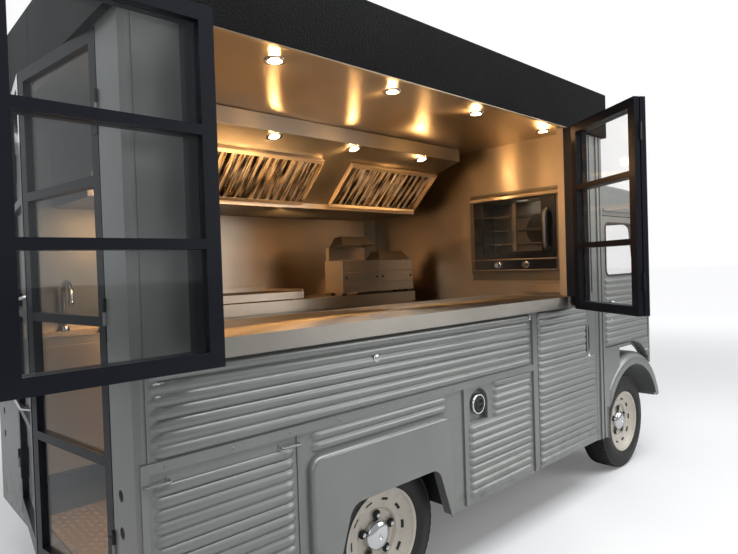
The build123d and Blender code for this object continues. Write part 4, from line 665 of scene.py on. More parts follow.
rivets = [(-906.0, z) for z in np.linspace(1480, 2020, 5)]
rivets += [(y, 2042.0) for y in np.linspace(-820, -200, 4)]
heads = [lathe(DOME, (2894.5, y, z), TO_REAR, 16) for y, z in rivets]
shell("oven_rivets", heads, "lamp_chrome", smooth=60)
brow = carry(BROW, (2842, TRIM_Y[0], 0), X_AXIS, Z_AXIS, (0, TRIM_Y[1] - TRIM_Y[0], 0))
shell("oven_brow", [brow], "stainless_across", bevel=1)
door = border((DOOR_X_FRONT, WALL_X - 0.5), DOOR_EDGE_Y, DOOR_EDGE_Z, PANE_Y, PANE_Z)
shell("oven_door_edge", door, "oven_black", bevel=1.5)
pane = brick((2870, 2874), (PANE_Y[0] - 4, PANE_Y[1] + 4), (PANE_Z[0] - 4, PANE_Z[1] + 4))
shell("oven_pane", [pane], "glass")
print("rivets", len(rivets))

# %% [markdown]
# ## Inside the oven and its controls
# A rack is thirteen thin wires on three cross wires. Behind them the liner and the fan's guard are dark.
# The strip under the door has two turned knobs, each in an arc of small ticks, between two rails.

# %% Racks, fan, grip and knobs
RACK_X, RACK_Y = (2915, 3110), (-690, -270)
WIRES, WIRE, CROSS_WIRE = 13, 2.2, 3.0
KNOBS_Y, KNOB_Z, STRIP_FRONT = (-367, -592), 1540, 2864
FAN = [(0, 10), (60, 10), (64, 4), (110, 4), (112, 0), (0, 0)]
KNOB = [(0, 24), (15, 24), (17, 21), (18, 4), (24, 2), (24, 0), (0, 0)]
TICK = [(0, 1.2), (2.2, 1.2), (2.2, -1), (0, -1)]
racks = []
for z in (1690.0, 1790.0, 1890.0):
    racks += [pipe([(RACK_X[0], y, z), (RACK_X[1], y, z)], WIRE, 6) for y in np.linspace(*RACK_Y, WIRES)]
    racks += [pipe([(x, -800, z - 3), (x, -175, z - 3)], CROSS_WIRE, 6) for x in (2915, 3010, 3108)]
racks += [brick((2912, 2918), (-492, -462), (1592, 1995)), brick((3118, 3124), (-800, -180), (1600, 1980))]
shell("oven_liner", [brick((3125.5, 3127), (-806, -174), (1596, 1984))], "oven_black")
shell("oven_racks", racks, "worn_steel", smooth=50)
shell("oven_fan", [lathe(FAN, (3117, -560, 1790), TO_REAR, 32)], "cast_iron", smooth=40)
grip = [(x, -762, z) for x, z in
        ((2866, 1640), (2836, 1652), (2828, 1680), (2828, 1862), (2836, 1892), (2866, 1905))]
shell("oven_grip", [pipe(grip, 17, 18)], "worn_steel", smooth=60)
jamb = [brick((2687.6, 2689.6), (-984, -941), (1340, 2384)),
        brick((2689.6, 2898), (-942.9, -941.4), (1340, 2396))]
shell("jamb_lining", jamb, "stainless_across")
controls = brick((STRIP_FRONT, WALL_X - 0.5), DOOR_EDGE_Y, (1508, 1572))
shell("oven_controls", [controls], "oven_black", bevel=1.5)
rails = [brick((2860, WALL_X - 0.5), (-832, -146), (z, z + 6)) for z in (1575, 1500)]
shelf_section = [(0, 0), (74, 0), (74, -3), (3, -3), (3, 50), (0, 50)]
shelf = carry(shelf_section, (2825, -942, 1353), X_AXIS, Z_AXIS, (0, 347, 0))
shell("oven_rails", rails + [shelf], "stainless_across", bevel=1)
knobs = [lathe(KNOB, (STRIP_FRONT, y, KNOB_Z), TO_REAR, 40) for y in KNOBS_Y]
knobs += [lathe(TICK, (STRIP_FRONT, y + 32 * np.cos(t), KNOB_Z + 32 * np.sin(t)), TO_REAR, 8)
          for y in KNOBS_Y for t in np.linspace(-0.6, 3.8, 12)]
shell("oven_knobs", knobs, "lamp_chrome", smooth=40)
print("oven racks", len(racks))

# %% [markdown]
# ## Worktop and griddle
# Along the left wall a steel run carries a griddle and, on feet, a twin fryer. Each unit is folded panels
# with small gaps, so each panel is its own brick with rounded edges, not a line drawn on a box. The run
# replaces the frame's worktop.

# %% Worktop run and griddle
RUN_Y, RUN_TOP = (350.0, 938.0), 1352.0
RUN_X, RUN_END = (618, 1852), 2745
SLAB_Z, BODY_Z, PANEL_Z = (1306, RUN_TOP), (402, 1300), (450, 1260)
DOOR_FACE = (RUN_Y[0] + 12, RUN_Y[0] + 24)
LIP = [(0, -72), (4, -72), (4, 0), (20, 0), (20, 4), (0, 4)]
run = [brick((620, 1850), (DOOR_FACE[1], 728), BODY_Z), brick(RUN_X, RUN_Y, SLAB_Z),
       brick((RUN_X[0], RUN_END), (926, 940), (RUN_TOP, 1956)),
       carry(LIP, (RUN_X[0], RUN_Y[0] - 4, RUN_TOP), Y_AXIS, Z_AXIS, (RUN_END - RUN_X[0], 0, 0))]
run += [brick((x, x + 394), DOOR_FACE, PANEL_Z) for x in (628, 1030, 1432)]
for x in (990, 1070, 1794):
    bent = ((DOOR_FACE[0], 1080), (RUN_Y[0] - 14, 1086), (RUN_Y[0] - 14, 1214), (DOOR_FACE[0], 1220))
    run.append(pipe([(x, y, z) for y, z in bent], 5, 10))
worktop = shell("worktop_run", run, "stainless", bevel=1.5)
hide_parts("worktop")

GRIDDLE_X, GRIDDLE_Y, GRIDDLE_LOW = (888, 1662), (372, 852), 1366
griddle = [brick((900, 1650), (372, 850), (GRIDDLE_LOW, 1396)),
           brick(GRIDDLE_X, (852, 858), (GRIDDLE_LOW, 1440)),
           brick((888, 892), GRIDDLE_Y, (GRIDDLE_LOW, 1424)),
           brick((1658, 1662), GRIDDLE_Y, (GRIDDLE_LOW, 1424)),
           brick(GRIDDLE_X, (366, 372), (1362, 1410))]
griddle_foot = [(0, 14), (22, 14), (24, 0), (0, 0)]
griddle += [lathe(griddle_foot, (x, y, RUN_TOP), Z_AXIS, 20) for x in (940, 1610) for y in (420, 800)]
shell("griddle_body", griddle, "stainless", bevel=1.5)
plates = [brick(x, (380, 846), (1394, 1406)) for x in ((898, 1272), (1278, 1652))]
shell("griddle_plates", plates, "cast_iron", bevel=2)
print("run parts", len(run), "griddle parts", len(griddle))

# %% [markdown]
# ## Twin fryer
# The fryer is a narrow tall case of three rows of panels, split in two. Each tank has a cover: a frustum
# without a floor, one of them on a raised back and tipped a little. The case replaces the frame's plain
# box.

# %% Fryer and its covers
FRY_X, FRY_Y, FRY_SPLIT = (2010.0, 2744.0), (362.0, 560.0), 2377.0
PANEL_ROWS = ((1374, 1440), (1444, 1522), (1526, 1606))
HINGE_Y = FRY_Y[1] - 34
COVER_LEAN, RAISED_Z, REST_Z = 0.12, 1706.0, 1608.0
fry = [brick((1862, 2738), (DOOR_FACE[1], 908), BODY_Z), brick((1854, RUN_END), RUN_Y, SLAB_Z),
       brick((FRY_X[0] + 4, FRY_X[1] - 4), (FRY_Y[0] + 10, FRY_Y[1]), (1376, 1600))]
fry += [brick((x, x + 426), DOOR_FACE, PANEL_Z) for x in (1872, 2304)]
for span in ((FRY_X[0], FRY_SPLIT - 2), (FRY_SPLIT + 2, FRY_X[1])):
    fry += [brick(span, (FRY_Y[0], FRY_Y[0] + 10), z) for z in PANEL_ROWS]
fry += [brick((FRY_X[0] - 4, FRY_X[0] + 4), FRY_Y, (1376, 1610)),
        brick((FRY_X[0] + 10, FRY_SPLIT - 10), (HINGE_Y, FRY_Y[1]), (1600, RAISED_Z)),
        brick((2320, FRY_X[1]), (FRY_Y[1] + 1, 905), (1353, 1480))]
fryer = shell("fryer_case", fry, "stainless", bevel=1.5)
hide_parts("fryer")
buttons_x = (FRY_X[0] + 30, FRY_SPLIT - 30, FRY_SPLIT + 30, FRY_X[1] - 30)
button, foot = [(0, 8), (7, 7), (9, 4), (9, -1), (0, -1)], [(0, 22), (16, 22), (18, 0), (0, 0)]
fittings = [lathe(button, (x, FRY_Y[0], 1483), TO_RIGHT, 16) for x in buttons_x]
feet_x = (FRY_X[0] + 40, FRY_X[1] - 40)
fittings += [lathe(foot, (x, y, RUN_TOP), Z_AXIS, 20) for x in feet_x for y in (400, 530)]
shell("fryer_feet", fittings, "trim_plastic", smooth=40)


def corners(near, far):
    """Four offsets (x, y) that mirror in X: two at the front, two at the back."""
    return np.array([(near[0], near[1]), (-near[0], near[1]), (-far[0], far[1]), (far[0], far[1])], float)


def cover_part(x, level, angle):
    """A fryer cover: a hollow frustum, open below, hinged at a level and turned up about its rear edge."""
    base = np.array([(x[0], FRY_Y[0] + 10), (x[1], FRY_Y[0] + 10), (x[1], HINGE_Y), (x[0], HINGE_Y)], float)
    wall, draft = corners((4, 4), (4, -4)), corners((45, 60), (45, -16))
    outline = np.stack([base + wall, base, base + draft, base + draft + wall]) - (0, HINGE_Y)
    rise = np.array([0.0, 0.0, 70.0, 66.0])[:, None]
    c, s = math.cos(angle), math.sin(angle)
    back, high = outline[..., 1], np.broadcast_to(rise, outline.shape[:2])
    turned = np.stack([outline[..., 0], c * back + s * high, c * high - s * back], -1)
    around = quads(4, 4, wrap_rows=True, wrap_columns=True)
    return turned + (0, HINGE_Y, level), around[:8] + around[12:] + [(8, 9, 10, 11), (12, 13, 14, 15)]


covers = [cover_part((FRY_X[0] + 14, FRY_SPLIT - 14), RAISED_Z, COVER_LEAN),
          cover_part((FRY_SPLIT + 12, FRY_X[1] - 12), REST_Z, 0.0)]
shell("fryer_covers", covers, "worn_steel", bevel=1)
print("fryer parts", len(fry), "covers", len(covers))

# %% [markdown]
# ## Tyres
# A tyre is a profile turned about the axle. The sidewall bulges as a blunted sine between bead and
# shoulder, with one raised line round it. The tread is nearly flat, with four grooves round it and cuts
# across its shoulders. Each tyre replaces its frame node.

# %% Tyres with tread
HUBS = (("front_right", 3640.0, RIGHT), ("rear_right", 1110.0, RIGHT),
        ("front_left", 3640.0, LEFT), ("rear_left", 1110.0, LEFT))
HUB_Z, TRACK_HALF = 343.0, 822.0
TYRE_STEPS, CUTS = 224, 56
GROOVES = np.array([-46.0, -16.0, 16.0, 46.0])
GROOVE_DEEP, GROOVE_HALF, CUT_DEEP = 7.0, 3.4, 5.0
BEAD_R, WALL_TALL, SHOULDER_R, TREAD_HALF = 207, 124, 331, 68


def tyre_part(x, side):
    """R(y, a) = the profile's radius less the deeper of groove and cut; a is the turn, y runs across."""
    s = np.linspace(0, 1, 17)[:-1]
    wall_r = BEAD_R + WALL_TALL * s
    wall_y = 76 + 19 * np.sin(np.pi * np.clip(s * 1.02, 0, 1)) ** 0.8 + 2 * (np.abs(s - 0.42) < 0.04)
    shoulder = np.linspace(0, np.pi / 2, 6)
    tread = np.linspace(-TREAD_HALF, TREAD_HALF, 61)
    edge_y, edge_r = TREAD_HALF + 14 * np.cos(shoulder), SHOULDER_R + 10.5 * np.sin(shoulder)
    crown = 341.5 + 1.3 * np.cos(np.pi * tread / (2 * TREAD_HALF))
    y = np.concatenate([-wall_y, -edge_y[:-1], tread, edge_y[-2::-1], wall_y[::-1]])
    base = np.concatenate([wall_r, edge_r[:-1], crown, edge_r[-2::-1], wall_r[::-1]])
    a = np.linspace(0, 2 * np.pi, TYRE_STEPS, endpoint=False)[:, None]
    away = np.min(np.abs(y[:, None] - GROOVES), axis=1)
    groove = GROOVE_DEEP * np.clip(1 - (away / GROOVE_HALF) ** 4, 0, 1) * (np.abs(y) < 66)
    across = np.cos(CUTS * a + 0.05 * np.abs(y)) > 0.72
    cut = CUT_DEEP * across * ((np.abs(y) > 50) & (base > SHOULDER_R))
    radius = base - np.maximum(groove, cut)
    out = np.broadcast_to(side * (TRACK_HALF + y), radius.shape)
    points = np.stack([x + radius * np.cos(a), out, HUB_Z + radius * np.sin(a)], -1)
    return points, quads(TYRE_STEPS, len(y), wrap_rows=True, wrap_columns=True)


for word, x, side in HUBS:
    tyre = shell("tread_" + word, [tyre_part(x, side)], "tyre", "wheel_" + word, smooth=40)
    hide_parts("tyre_" + word)
print("tyre faces", len(tyre.data.polygons))

# %% [markdown]
# ## Wheel dress
# The pressed rim has a rolled lip, a ring of narrow cooling slots drawn as dark plates that are painted
# shade of the openings, five nuts with dark washers, and a polished cap over the hub. Each is a turned
# profile or a carried outline, placed from the hub.

# %% Lips, slots, nuts and caps
NUT_CIRCLE, NUT_TURNS = 92.0, 2 * np.pi * np.arange(5) / 5 + 0.3
SLOTS, SLOT_HALF = 10, 0.12
CAP = [(0, 70), (7, 70.5), (11, 75), (16, 76.5), (40, 73), (56, 67), (65, 60), (70, 48), (70, 36), (0, 36)]
RIM_LIP = [(199, 70), (205, 83), (212, 88.5), (218.6, 88.5), (219.2, 84),
           (214, 84), (208, 79), (203, 68), (199, 70)]
NUT = [(0, 64), (6, 64), (11, 60), (11, 46), (0, 46)]
WASHER = [(0, 51.5), (19, 51.5), (21, 49), (21, 46), (0, 46)]
SLOT_RADII, SLOT_DEPTHS = np.array([154.0, 166.0, 166.0, 154.0]), np.array([51.0, 56.6, 50.0, 44.0])


def slot_shade_part(x, side, turn):
    """Painted shade of a cooling slot as a dark plate: four corners on the rim's cone, carried SLOT_HALF
    radians each way.
    """
    a = turn + np.linspace(-SLOT_HALF, SLOT_HALF, 9)[:, None]
    out = side * (TRACK_HALF + SLOT_DEPTHS + 0 * a)
    points = np.stack([x + SLOT_RADII * np.cos(a), out, HUB_Z + SLOT_RADII * np.sin(a)], -1)
    return points, quads(9, 4, wrap_columns=True) + [(0, 1, 2, 3), (32, 33, 34, 35)]


for word, x, side in HUBS:
    hub, out, wheel = (x, side * TRACK_HALF, HUB_Z), (0, side, 0), "wheel_" + word
    studs = [(x + NUT_CIRCLE * np.cos(t), hub[1], HUB_Z + NUT_CIRCLE * np.sin(t)) for t in NUT_TURNS]
    nuts = [lathe(NUT, stud, out, 6) for stud in studs]
    washers = [lathe(WASHER, stud, out, 24) for stud in studs]
    slots = [slot_shade_part(x, side, t) for t in 2 * np.pi * np.arange(SLOTS) / SLOTS]
    shell("hub_cap_" + word, [lathe(CAP, hub, out, 64)], "lamp_chrome", wheel, smooth=50)
    shell("wheel_nuts_" + word, nuts, "lamp_chrome", wheel, smooth=30)
    shell("nut_washers_" + word, washers, "chassis_black", wheel, smooth=40)
    # Dark plates on the rim stand for the slots: painted shade of the openings.
    shell("rim_slot_shade_" + word, slots, "chassis_black", wheel, smooth=40)
    shell("rim_lip_" + word, [lathe(RIM_LIP, hub, out, 96)], "rim_cream", wheel, smooth=50)
print("wheels dressed")

# %% [markdown]
# ## Kitchen floor
# The floor is chequer plate: thousands of low lozenges turned this way and that. They are one array: a
# template of eight points moved to every place of a lattice, so no loop runs over them. One patch covers
# the aisle, a second one the rear corner on the right.

# %% Chequer floor
FLOOR_Z, LATTICE = 400.0, 32.0


def lozenges(x_range, y_range):
    """A lattice of lozenges 24 by 9 that narrow to their tops, neighbours turned opposite ways."""
    i, j = np.meshgrid(np.arange(*x_range, LATTICE), np.arange(*y_range, LATTICE), indexing="ij")
    odd = (np.rint(i / LATTICE) + np.rint(j / LATTICE)) % 2 > 0.5
    lean = np.where(odd, 1.0, -1.0).reshape(-1, 1) * math.pi / 4
    corner = np.array([(12, 0), (0, 4.5), (-12, 0), (0, -4.5)], float)
    flat = np.concatenate([corner, corner * 0.6])
    x = i.reshape(-1, 1) + flat[:, 0] * np.cos(lean) - flat[:, 1] * np.sin(lean)
    y = j.reshape(-1, 1) + flat[:, 0] * np.sin(lean) + flat[:, 1] * np.cos(lean)
    z = np.broadcast_to(FLOOR_Z + np.repeat([0.6, 3.4], 4), x.shape)
    sides = [(k, (k + 1) % 4, 4 + (k + 1) % 4, 4 + k) for k in range(4)] + [(3, 2, 1, 0), (4, 5, 6, 7)]
    faces = (np.array(sides)[None] + 8 * np.arange(i.size)[:, None, None]).reshape(-1, 4)
    return np.stack([x, y, z], -1), [tuple(face) for face in faces.tolist()]


SHEET_Z = (FLOOR_Z + 0.3, FLOOR_Z + 1.2)
plate = [lozenges((56, 2880), (-628, 345)), lozenges((56, 690), (-930, -645)),
         brick((40, 2894), (-636, 346), SHEET_Z), brick((40, 700), (-940, -636), SHEET_Z)]
shell("chequer_plate", plate, "stainless", smooth=20)
print("lozenge faces", len(plate[0][1]))

# %% [markdown]
# ## Sink and tap
# The sink's cabinet is flat panels with a rim round the bowl. The tap is a tube carried along a swan neck.

# %% Sink cabinet and tap
TAP_X, TAP_Y, TAP_TOP, SWAN = 325.0, 898.0, 1455.0, 75.0
SPOUT_Y = TAP_Y - 2 * SWAN
RIM_Z, SINK_PANEL_Z = (1238, 1244), (566, 1196)
swing = np.linspace(0, np.pi, 17)
neck = [(TAP_X, TAP_Y, 1242), (TAP_X, TAP_Y, 1400)]
neck += [(TAP_X, TAP_Y - SWAN * (1 - math.cos(t)), TAP_TOP + SWAN * math.sin(t)) for t in swing]
neck += [(TAP_X, SPOUT_Y, 1412)]
handle = [(TAP_X, TAP_Y, 1290), (TAP_X - 40, TAP_Y - 20, 1318), (TAP_X - 105, TAP_Y - 60, 1352)]
tap = [pipe(neck, 12.4, 18),
       lathe([(0, 34), (22, 32), (27, 20), (27, 0), (0, 0)], (TAP_X, TAP_Y, 1240), Z_AXIS, 28),
       lathe([(14.5, 0), (16, 2), (16, 18), (14, 22), (0, 22), (0, 0)], (TAP_X, SPOUT_Y, 1400), Z_AXIS, 24),
       pipe(handle, [10, 8, 5], 12)]
shell("sink_tap", tap, "lamp_chrome", smooth=50)
cabinet = [brick((78, 584), (536, 540), SINK_PANEL_Z), brick((56.5, 60), (560, 922), SINK_PANEL_Z)]
cabinet += [brick((56, 604), (534, 585), RIM_Z), brick((56, 604), (880, 940), RIM_Z),
            brick((56, 135), (585, 880), RIM_Z), brick((515, 604), (585, 880), RIM_Z),
            brick((60, 604), (930, 941), (1243, 1300))]
cabinet += border((56, 60), (540, 942), (540, 1240), (560, 922), (566, 1210))
shell("sink_panels", cabinet, "stainless", bevel=1)
print("cabinet panels", len(cabinet))

# %% [markdown]
# ## Fittings on the body
# Small parts tell the size of the vehicle: lift handles, locks, the fuel cap and rivets. Each is a turned
# profile, a bent tube or a small plate set against the panel that carries it.

# %% Handles, locks, fuel cap and rivets
WALL_Y, LIFT_RADIUS = -BODY_HALF, 4.2
LOCK = [(0, 7), (9, 7), (11, 5), (15, 4.5), (17, 2), (17, -2), (0, -2)]
lift = []
for low, high, z in ((22, 104, 904), (528, 610, 906)):
    half = [(low, 1, 0), (low, -15, -3), (low + 6, -19, -5)]
    bent = half + [(low + high - x, out, fall) for x, out, fall in half[::-1]]
    lift.append(pipe([(x, WALL_Y + out, z + fall) for x, out, fall in bent], LIFT_RADIUS, 12))
    lift += [brick((x - 11, x + 11), (WALL_Y - 2.4, WALL_Y + 1), (z - 14, z + 14)) for x in (low, high)]
shell("lift_handles", lift, "body_silver", smooth=40, bevel=0.8)
LOCKS = ((1023, -994, 1170), (2961, -986.8, 920), (2250, -985, 1240))
locks = [lathe(LOCK, place, TO_RIGHT, 28) for place in LOCKS]
locks += [brick((2944, 2978), (WALL_Y - 3, WALL_Y + 1), (892, 948))]
shell("panel_locks", locks, "lamp_chrome", smooth=40, bevel=0.5)

CAP_X, CAP_Z = 1743.5, 838.0
FUEL_CAP = [(0, 33), (6, 33), (8, 30), (24, 30), (26, 36),
            (30, 36), (37.5, 32), (39.5, 26), (39.5, 4), (0, 4)]
CAP_RING = [(42, 0), (42, 26), (44, 30), (50, 30), (53, 26), (53, 0), (42, 0)]
filler = [lathe(FUEL_CAP, (CAP_X, -957, CAP_Z), TO_RIGHT, 48),
          brick((CAP_X - 28, CAP_X + 28), (-997, WALL_Y), (CAP_Z - 4.5, CAP_Z + 4.5))]
shell("fuel_cap", filler, "trim_plastic", smooth=40, bevel=0.8)
shell("fuel_cap_ring", [lathe(CAP_RING, (CAP_X, -959, CAP_Z), TO_RIGHT, 48)], "lamp_chrome", smooth=40)

RIVET = [(0, 2.6), (3, 2.2), (5, 1), (6, -1), (0, -1)]
GUARD_Y, SEAM_Y, SEAM_Z = 1010.3, 995, 952
SIDES = (RIGHT, LEFT)
heads = [((x, side * GUARD_Y, z), side) for side in SIDES for x in (686, 1462) for z in (760, 560, 400)]
heads += [((x, side * SEAM_Y, SEAM_Z), side) for side in SIDES for x in np.arange(90, 2250, 240)]
rivets = [lathe(RIVET, place, (0, side, 0), 12) for place, side in heads]
shell("body_rivets", rivets, "body_silver", smooth=60)
print("rivets", len(rivets))

# %% [markdown]
# ## Fittings on the rear doors
# The rear doors stand open a little at rest. Their pull handle and hinge plates are drawn on the closed
# door, turned about its hinge by the same angle, and ride on the door.

# %% Pull handle and hinge plates
DOOR_OPEN, HINGE_X, HINGE_Y_OF = 7.5, -3.0, {RIGHT: -780.0, LEFT: 527.0}


def on_rear_door(points, side):
    """Points drawn on the closed door, turned about its hinge line by the angle it stands open at rest."""
    hinge = (HINGE_X, HINGE_Y_OF[side], 0)
    away = np.asarray(points, float) - hinge
    a = math.radians(-side * DOOR_OPEN)
    turned_x = away[..., 0] * math.cos(a) - away[..., 1] * math.sin(a)
    turned_y = away[..., 0] * math.sin(a) + away[..., 1] * math.cos(a)
    return np.stack([turned_x, turned_y, away[..., 2]], -1) + hinge


bow = [(2, 1020), (-34, 1030), (-52, 1075), (-56, 1250), (-52, 1425), (-34, 1470), (2, 1480)]
path = on_rear_door([(x, -96, z) for x, z in bow], LEFT)
shell("rear_pull_handle", [pipe(path, 8, 16)], "lamp_chrome", "rear_door_left", smooth=50)
for word, side, y in (("right", RIGHT, -760.0), ("left", LEFT, 505.0)):
    plates = [brick((-3.5, 0.5), (y - 20, y + 20), (z - 55, z + 55)) for z in (626.0, 1392.5, 2080.0)]
    turned = [(on_rear_door(points, side), faces) for points, faces in plates]
    shell("rear_hinge_plates_" + word, turned, "frame_black", "rear_door_" + word, bevel=1)
print("rear doors fitted")

# %% [markdown]
# ## Cab windows
# The cab's windows sit in rubber, a tube carried round each opening with rounded corners. The door handles
# ride on the doors, and two wipers rest on the windscreen.

# %% Window rubbers, door handles and wipers
def rounded(corners, radius, steps=7):
    """A closed path round corners in a plane, each cut by corner + r(u + v) - r(cos t v + sin t u)."""
    corners = np.asarray(corners, float)
    t = np.linspace(0, np.pi / 2, steps)[:, None]
    path = []
    for k in range(len(corners)):
        here, before, after = corners[k], corners[k - 1], corners[(k + 1) % len(corners)]
        u, v = (before - here) / np.linalg.norm(before - here), (after - here) / np.linalg.norm(after - here)
        path.append(here + radius * (u + v) - radius * (np.cos(t) * v + np.sin(t) * u))
    return np.concatenate(path)


def hoop(path, radius, normal, sides=10):
    """A tube round a closed flat path: a ring spans the normal and the direction square to the path."""
    path, normal = np.asarray(path, float), np.asarray(normal, float) / np.linalg.norm(normal)
    along = np.roll(path, -1, 0) - np.roll(path, 1, 0)
    across = np.cross(along, normal)
    across /= np.linalg.norm(across, axis=1)[:, None]
    t = np.linspace(0, 2 * np.pi, sides, endpoint=False)[None, :, None]
    rings = path[:, None] + radius * (np.cos(t) * across[:, None] + np.sin(t) * normal)
    return rings, quads(len(path), sides, wrap_rows=True, wrap_columns=True)


WINDOW = ((3236, 1445), (3856, 1445), (3783, 1810), (3236, 1810))
LEVER = ((3282, 992, 1262), (3282, 1001, 1262), (3300, 1004.5, 1262), (3372, 1003, 1256))
for word, side in (("right", RIGHT), ("left", LEFT)):
    ride_on = "cab_door_" + word
    window = rounded([(x, side * 984, z) for x, z in WINDOW], 45)
    shell("window_rubber_" + word, [hoop(window, 7.5, Y_AXIS)], "trim_plastic", ride_on, smooth=50)
    lever = [lathe(LOCK, (3309, side * BODY_HALF, 1140), (0, side, 0), 28),
             lathe([(0, 12), (17, 10), (19, 0), (0, 0)], (3282, side * 992, 1262), (0, side, 0), 24),
             pipe([(x, side * y, z) for x, y, z in LEVER], [8, 8, 7.5, 5.5], 14)]
    shell("door_handle_" + word, lever, "lamp_chrome", ride_on, smooth=50)
screen = [(3937, -890, 1422), (3937, 890, 1422), (3855, 890, 1833), (3855, -890, 1833)]
shell("screen_rubber", [hoop(rounded(screen, 60), 9, (411, 0, 82))], "trim_plastic", smooth=50)
wipers = []
for y in (-420.0, 380.0):
    wipers += [lathe([(0, 16), (11, 15), (14, 0), (0, 0)], (3946, y, 1400), (1, 0, 0.2), 20),
               pipe([(3958, y, 1402), (3950, y - 60, 1480), (3932, y - 190, 1600)], [5, 4, 3], 10),
               pipe([(3948, y - 80, 1460), (3920, y - 260, 1640)], 4.5, 8)]
shell("wipers", wipers, "trim_plastic", smooth=50)
print("cab windows trimmed")

# %% [markdown]
# ## Headlamps and scuttle
# A headlamp has a chrome ring, one profile turned about the length, and a domed glass. Three low louvres
# lie on each side below the windscreen. The photograph leaves the front out, so they follow what such vans
# have.

# %% Headlamp rings, glasses and louvres
LAMP_FRONT, LAMP_Y, LAMP_Z = 4195.0, 581.0, 905.0
GLASS_R, GLASS_DOME = 84, 14
RING = [(83, 0), (83, 9), (88, 13), (95, 9), (97, 0), (97, -16), (93, -18), (92.2, 0), (83, 0)]
dome = [(GLASS_R * math.sin(t), GLASS_DOME * math.cos(t) + 1) for t in np.linspace(0, np.pi / 2, 9)]
dome += [(GLASS_R, -2), (0, -2)]
lamps = [(LAMP_FRONT, side * LAMP_Y, LAMP_Z) for side in SIDES]
shell("headlamp_rings", [lathe(RING, centre, X_AXIS, 56) for centre in lamps], "lamp_chrome", smooth=40)
shell("headlamp_glasses", [lathe(dome, centre, X_AXIS, 56) for centre in lamps], "lens", smooth=50)
louvres = [brick((3962, 3966.5), (y, y + 150), (z, z + 6)) for y in (-720, 570) for z in (1370, 1383, 1396)]
shell("scuttle_louvres", louvres, "trim_plastic", bevel=1)
print("louvres", len(louvres))

# %% [markdown]
# ## Seat pads
# Each seat has a cushion and a back of foam under vinyl. A pad is a crowned closed form: its thickness is a
# product of two flat-topped curves, so its sides pull in at the edges, and shallow sewn channels run across
# it as a cosine.

# %% Seat pads
PAD_WIDE, CHANNELS, CHANNEL_DEEP, UNDER = 440, 3, 7.0, 0.3
CUSHION_LONG, CUSHION_THICK, REST_LONG, REST_THICK = 420, 62, 500, 58


def pad_part(origin, along, out, length, thick):
    """T(u, v) = thick sqrt((1 - u^6)(1 - v^6)) less a channel at each seam; the back is shallower."""
    u = np.sin(np.linspace(-np.pi / 2, np.pi / 2, 49))[:, None]
    v = np.sin(np.linspace(-np.pi / 2, np.pi / 2, 41))[None, :]
    body = np.sqrt(np.clip((1 - u ** 6) * (1 - v ** 6), 0, 1))
    dip = np.clip(np.cos(np.pi * CHANNELS * (v + 1)) * 8 - 7, 0, 1)
    seam = CHANNEL_DEEP * dip * (np.abs(v) < 0.93) * (np.abs(u) < 0.95)
    along, across, out = (np.asarray(w, float) for w in (along, Y_AXIS, out))
    middle = np.asarray(origin, float) + (u * length / 2)[..., None] * along
    middle = middle + (v * PAD_WIDE / 2)[..., None] * across
    top = middle + (thick * body - seam * body)[..., None] * out
    under = middle - (UNDER * thick * body)[..., None] * out
    faces = quads(*body.shape)
    return np.stack([top, under]), faces + [tuple(k + body.size for k in face[::-1]) for face in faces]


for word, y in (("right", -289.0), ("left", 289.0)):
    cushion = pad_part((3437, y, 775), X_AXIS, Z_AXIS, CUSHION_LONG, CUSHION_THICK)
    rest = pad_part((3296, y, 1062), (-0.06, 0, 0.998), (0.998, 0, 0.06), REST_LONG, REST_THICK)
    for kind, part in (("cushion", cushion), ("backrest", rest)):
        pad = shell("seat_%s_%s" % (kind, word), [part], "seat_vinyl", smooth=60)
print("pads ready")

# %% [markdown]
# ## Camera
# The photograph's camera was found by fitting lines of the vehicle. Its place, heading, pitch and roll give
# three directions, and these are the columns of its turn.

# %% Camera
EYE = (-658.0, -2760.9, 1560.2)
LENS, SENSOR = 28.05, 36.0
HEADING, NOSE_UP, ROLL = (math.radians(a) for a in (46.915, -1.039, -1.843))
scene = bpy.context.scene
flat = math.cos(NOSE_UP)
forward = Vector((flat * math.cos(HEADING), flat * math.sin(HEADING), math.sin(NOSE_UP)))
level_right = Vector((math.sin(HEADING), -math.cos(HEADING), 0))
level_up = level_right.cross(forward)
right = math.cos(ROLL) * level_right + math.sin(ROLL) * level_up
up = -math.sin(ROLL) * level_right + math.cos(ROLL) * level_up
camera = bpy.data.objects.new("camera", bpy.data.cameras.new("camera"))
scene.collection.objects.link(camera)
camera.data.lens, camera.data.sensor_width = LENS, SENSOR
turn = Matrix((right, up, -forward)).transposed().to_4x4()
camera.matrix_world = Matrix.Translation(Vector(placed(EYE).tolist())) @ turn
scene.camera = camera
scene.view_settings.view_transform = "Standard"
print("camera at", [round(v, 4) for v in camera.location])

# %% [markdown]
# ## Floor and world
# The floor is pale and plain, and grows brighter to the camera with distance, so it meets the background
# softly. The background is white to the camera and in glass only, so it adds little light of its own.

# %% Floor and world
FLOOR_HALF = 90
NEAR_FADE, FAR_FADE = 3.0, 13.0
FILL, SHINE = 0.16, 0.5
ground = Finish("studio_floor", (0.6, 0.6, 0.61), Specular_IOR_Level=0.3, Emission_Strength=1.0)
pale = ground.blend(ground.grain(1.2, detail=5.0), rgb(0.66, 0.66, 0.67), rgb(0.74, 0.74, 0.75))
seen_floor = ground.node("ShaderNodeLightPath", {}, {}, "Is Camera Ray")
distance = ground.node("ShaderNodeVectorMath", {"operation": "LENGTH"}, {0: ground.here()}, 1)
away = ground.ramp(distance, NEAR_FADE, FAR_FADE)
glow_to_camera = ground.blend(seen_floor * (0.16 + away * 0.84), rgb(0, 0, 0), rgb(0.8, 0.8, 0.81))
ground.set(Roughness=0.55 + ground.grain(0.4) * 0.2, Base_Color=pale, Emission_Color=glow_to_camera)
plane = bpy.data.meshes.new("studio_floor")
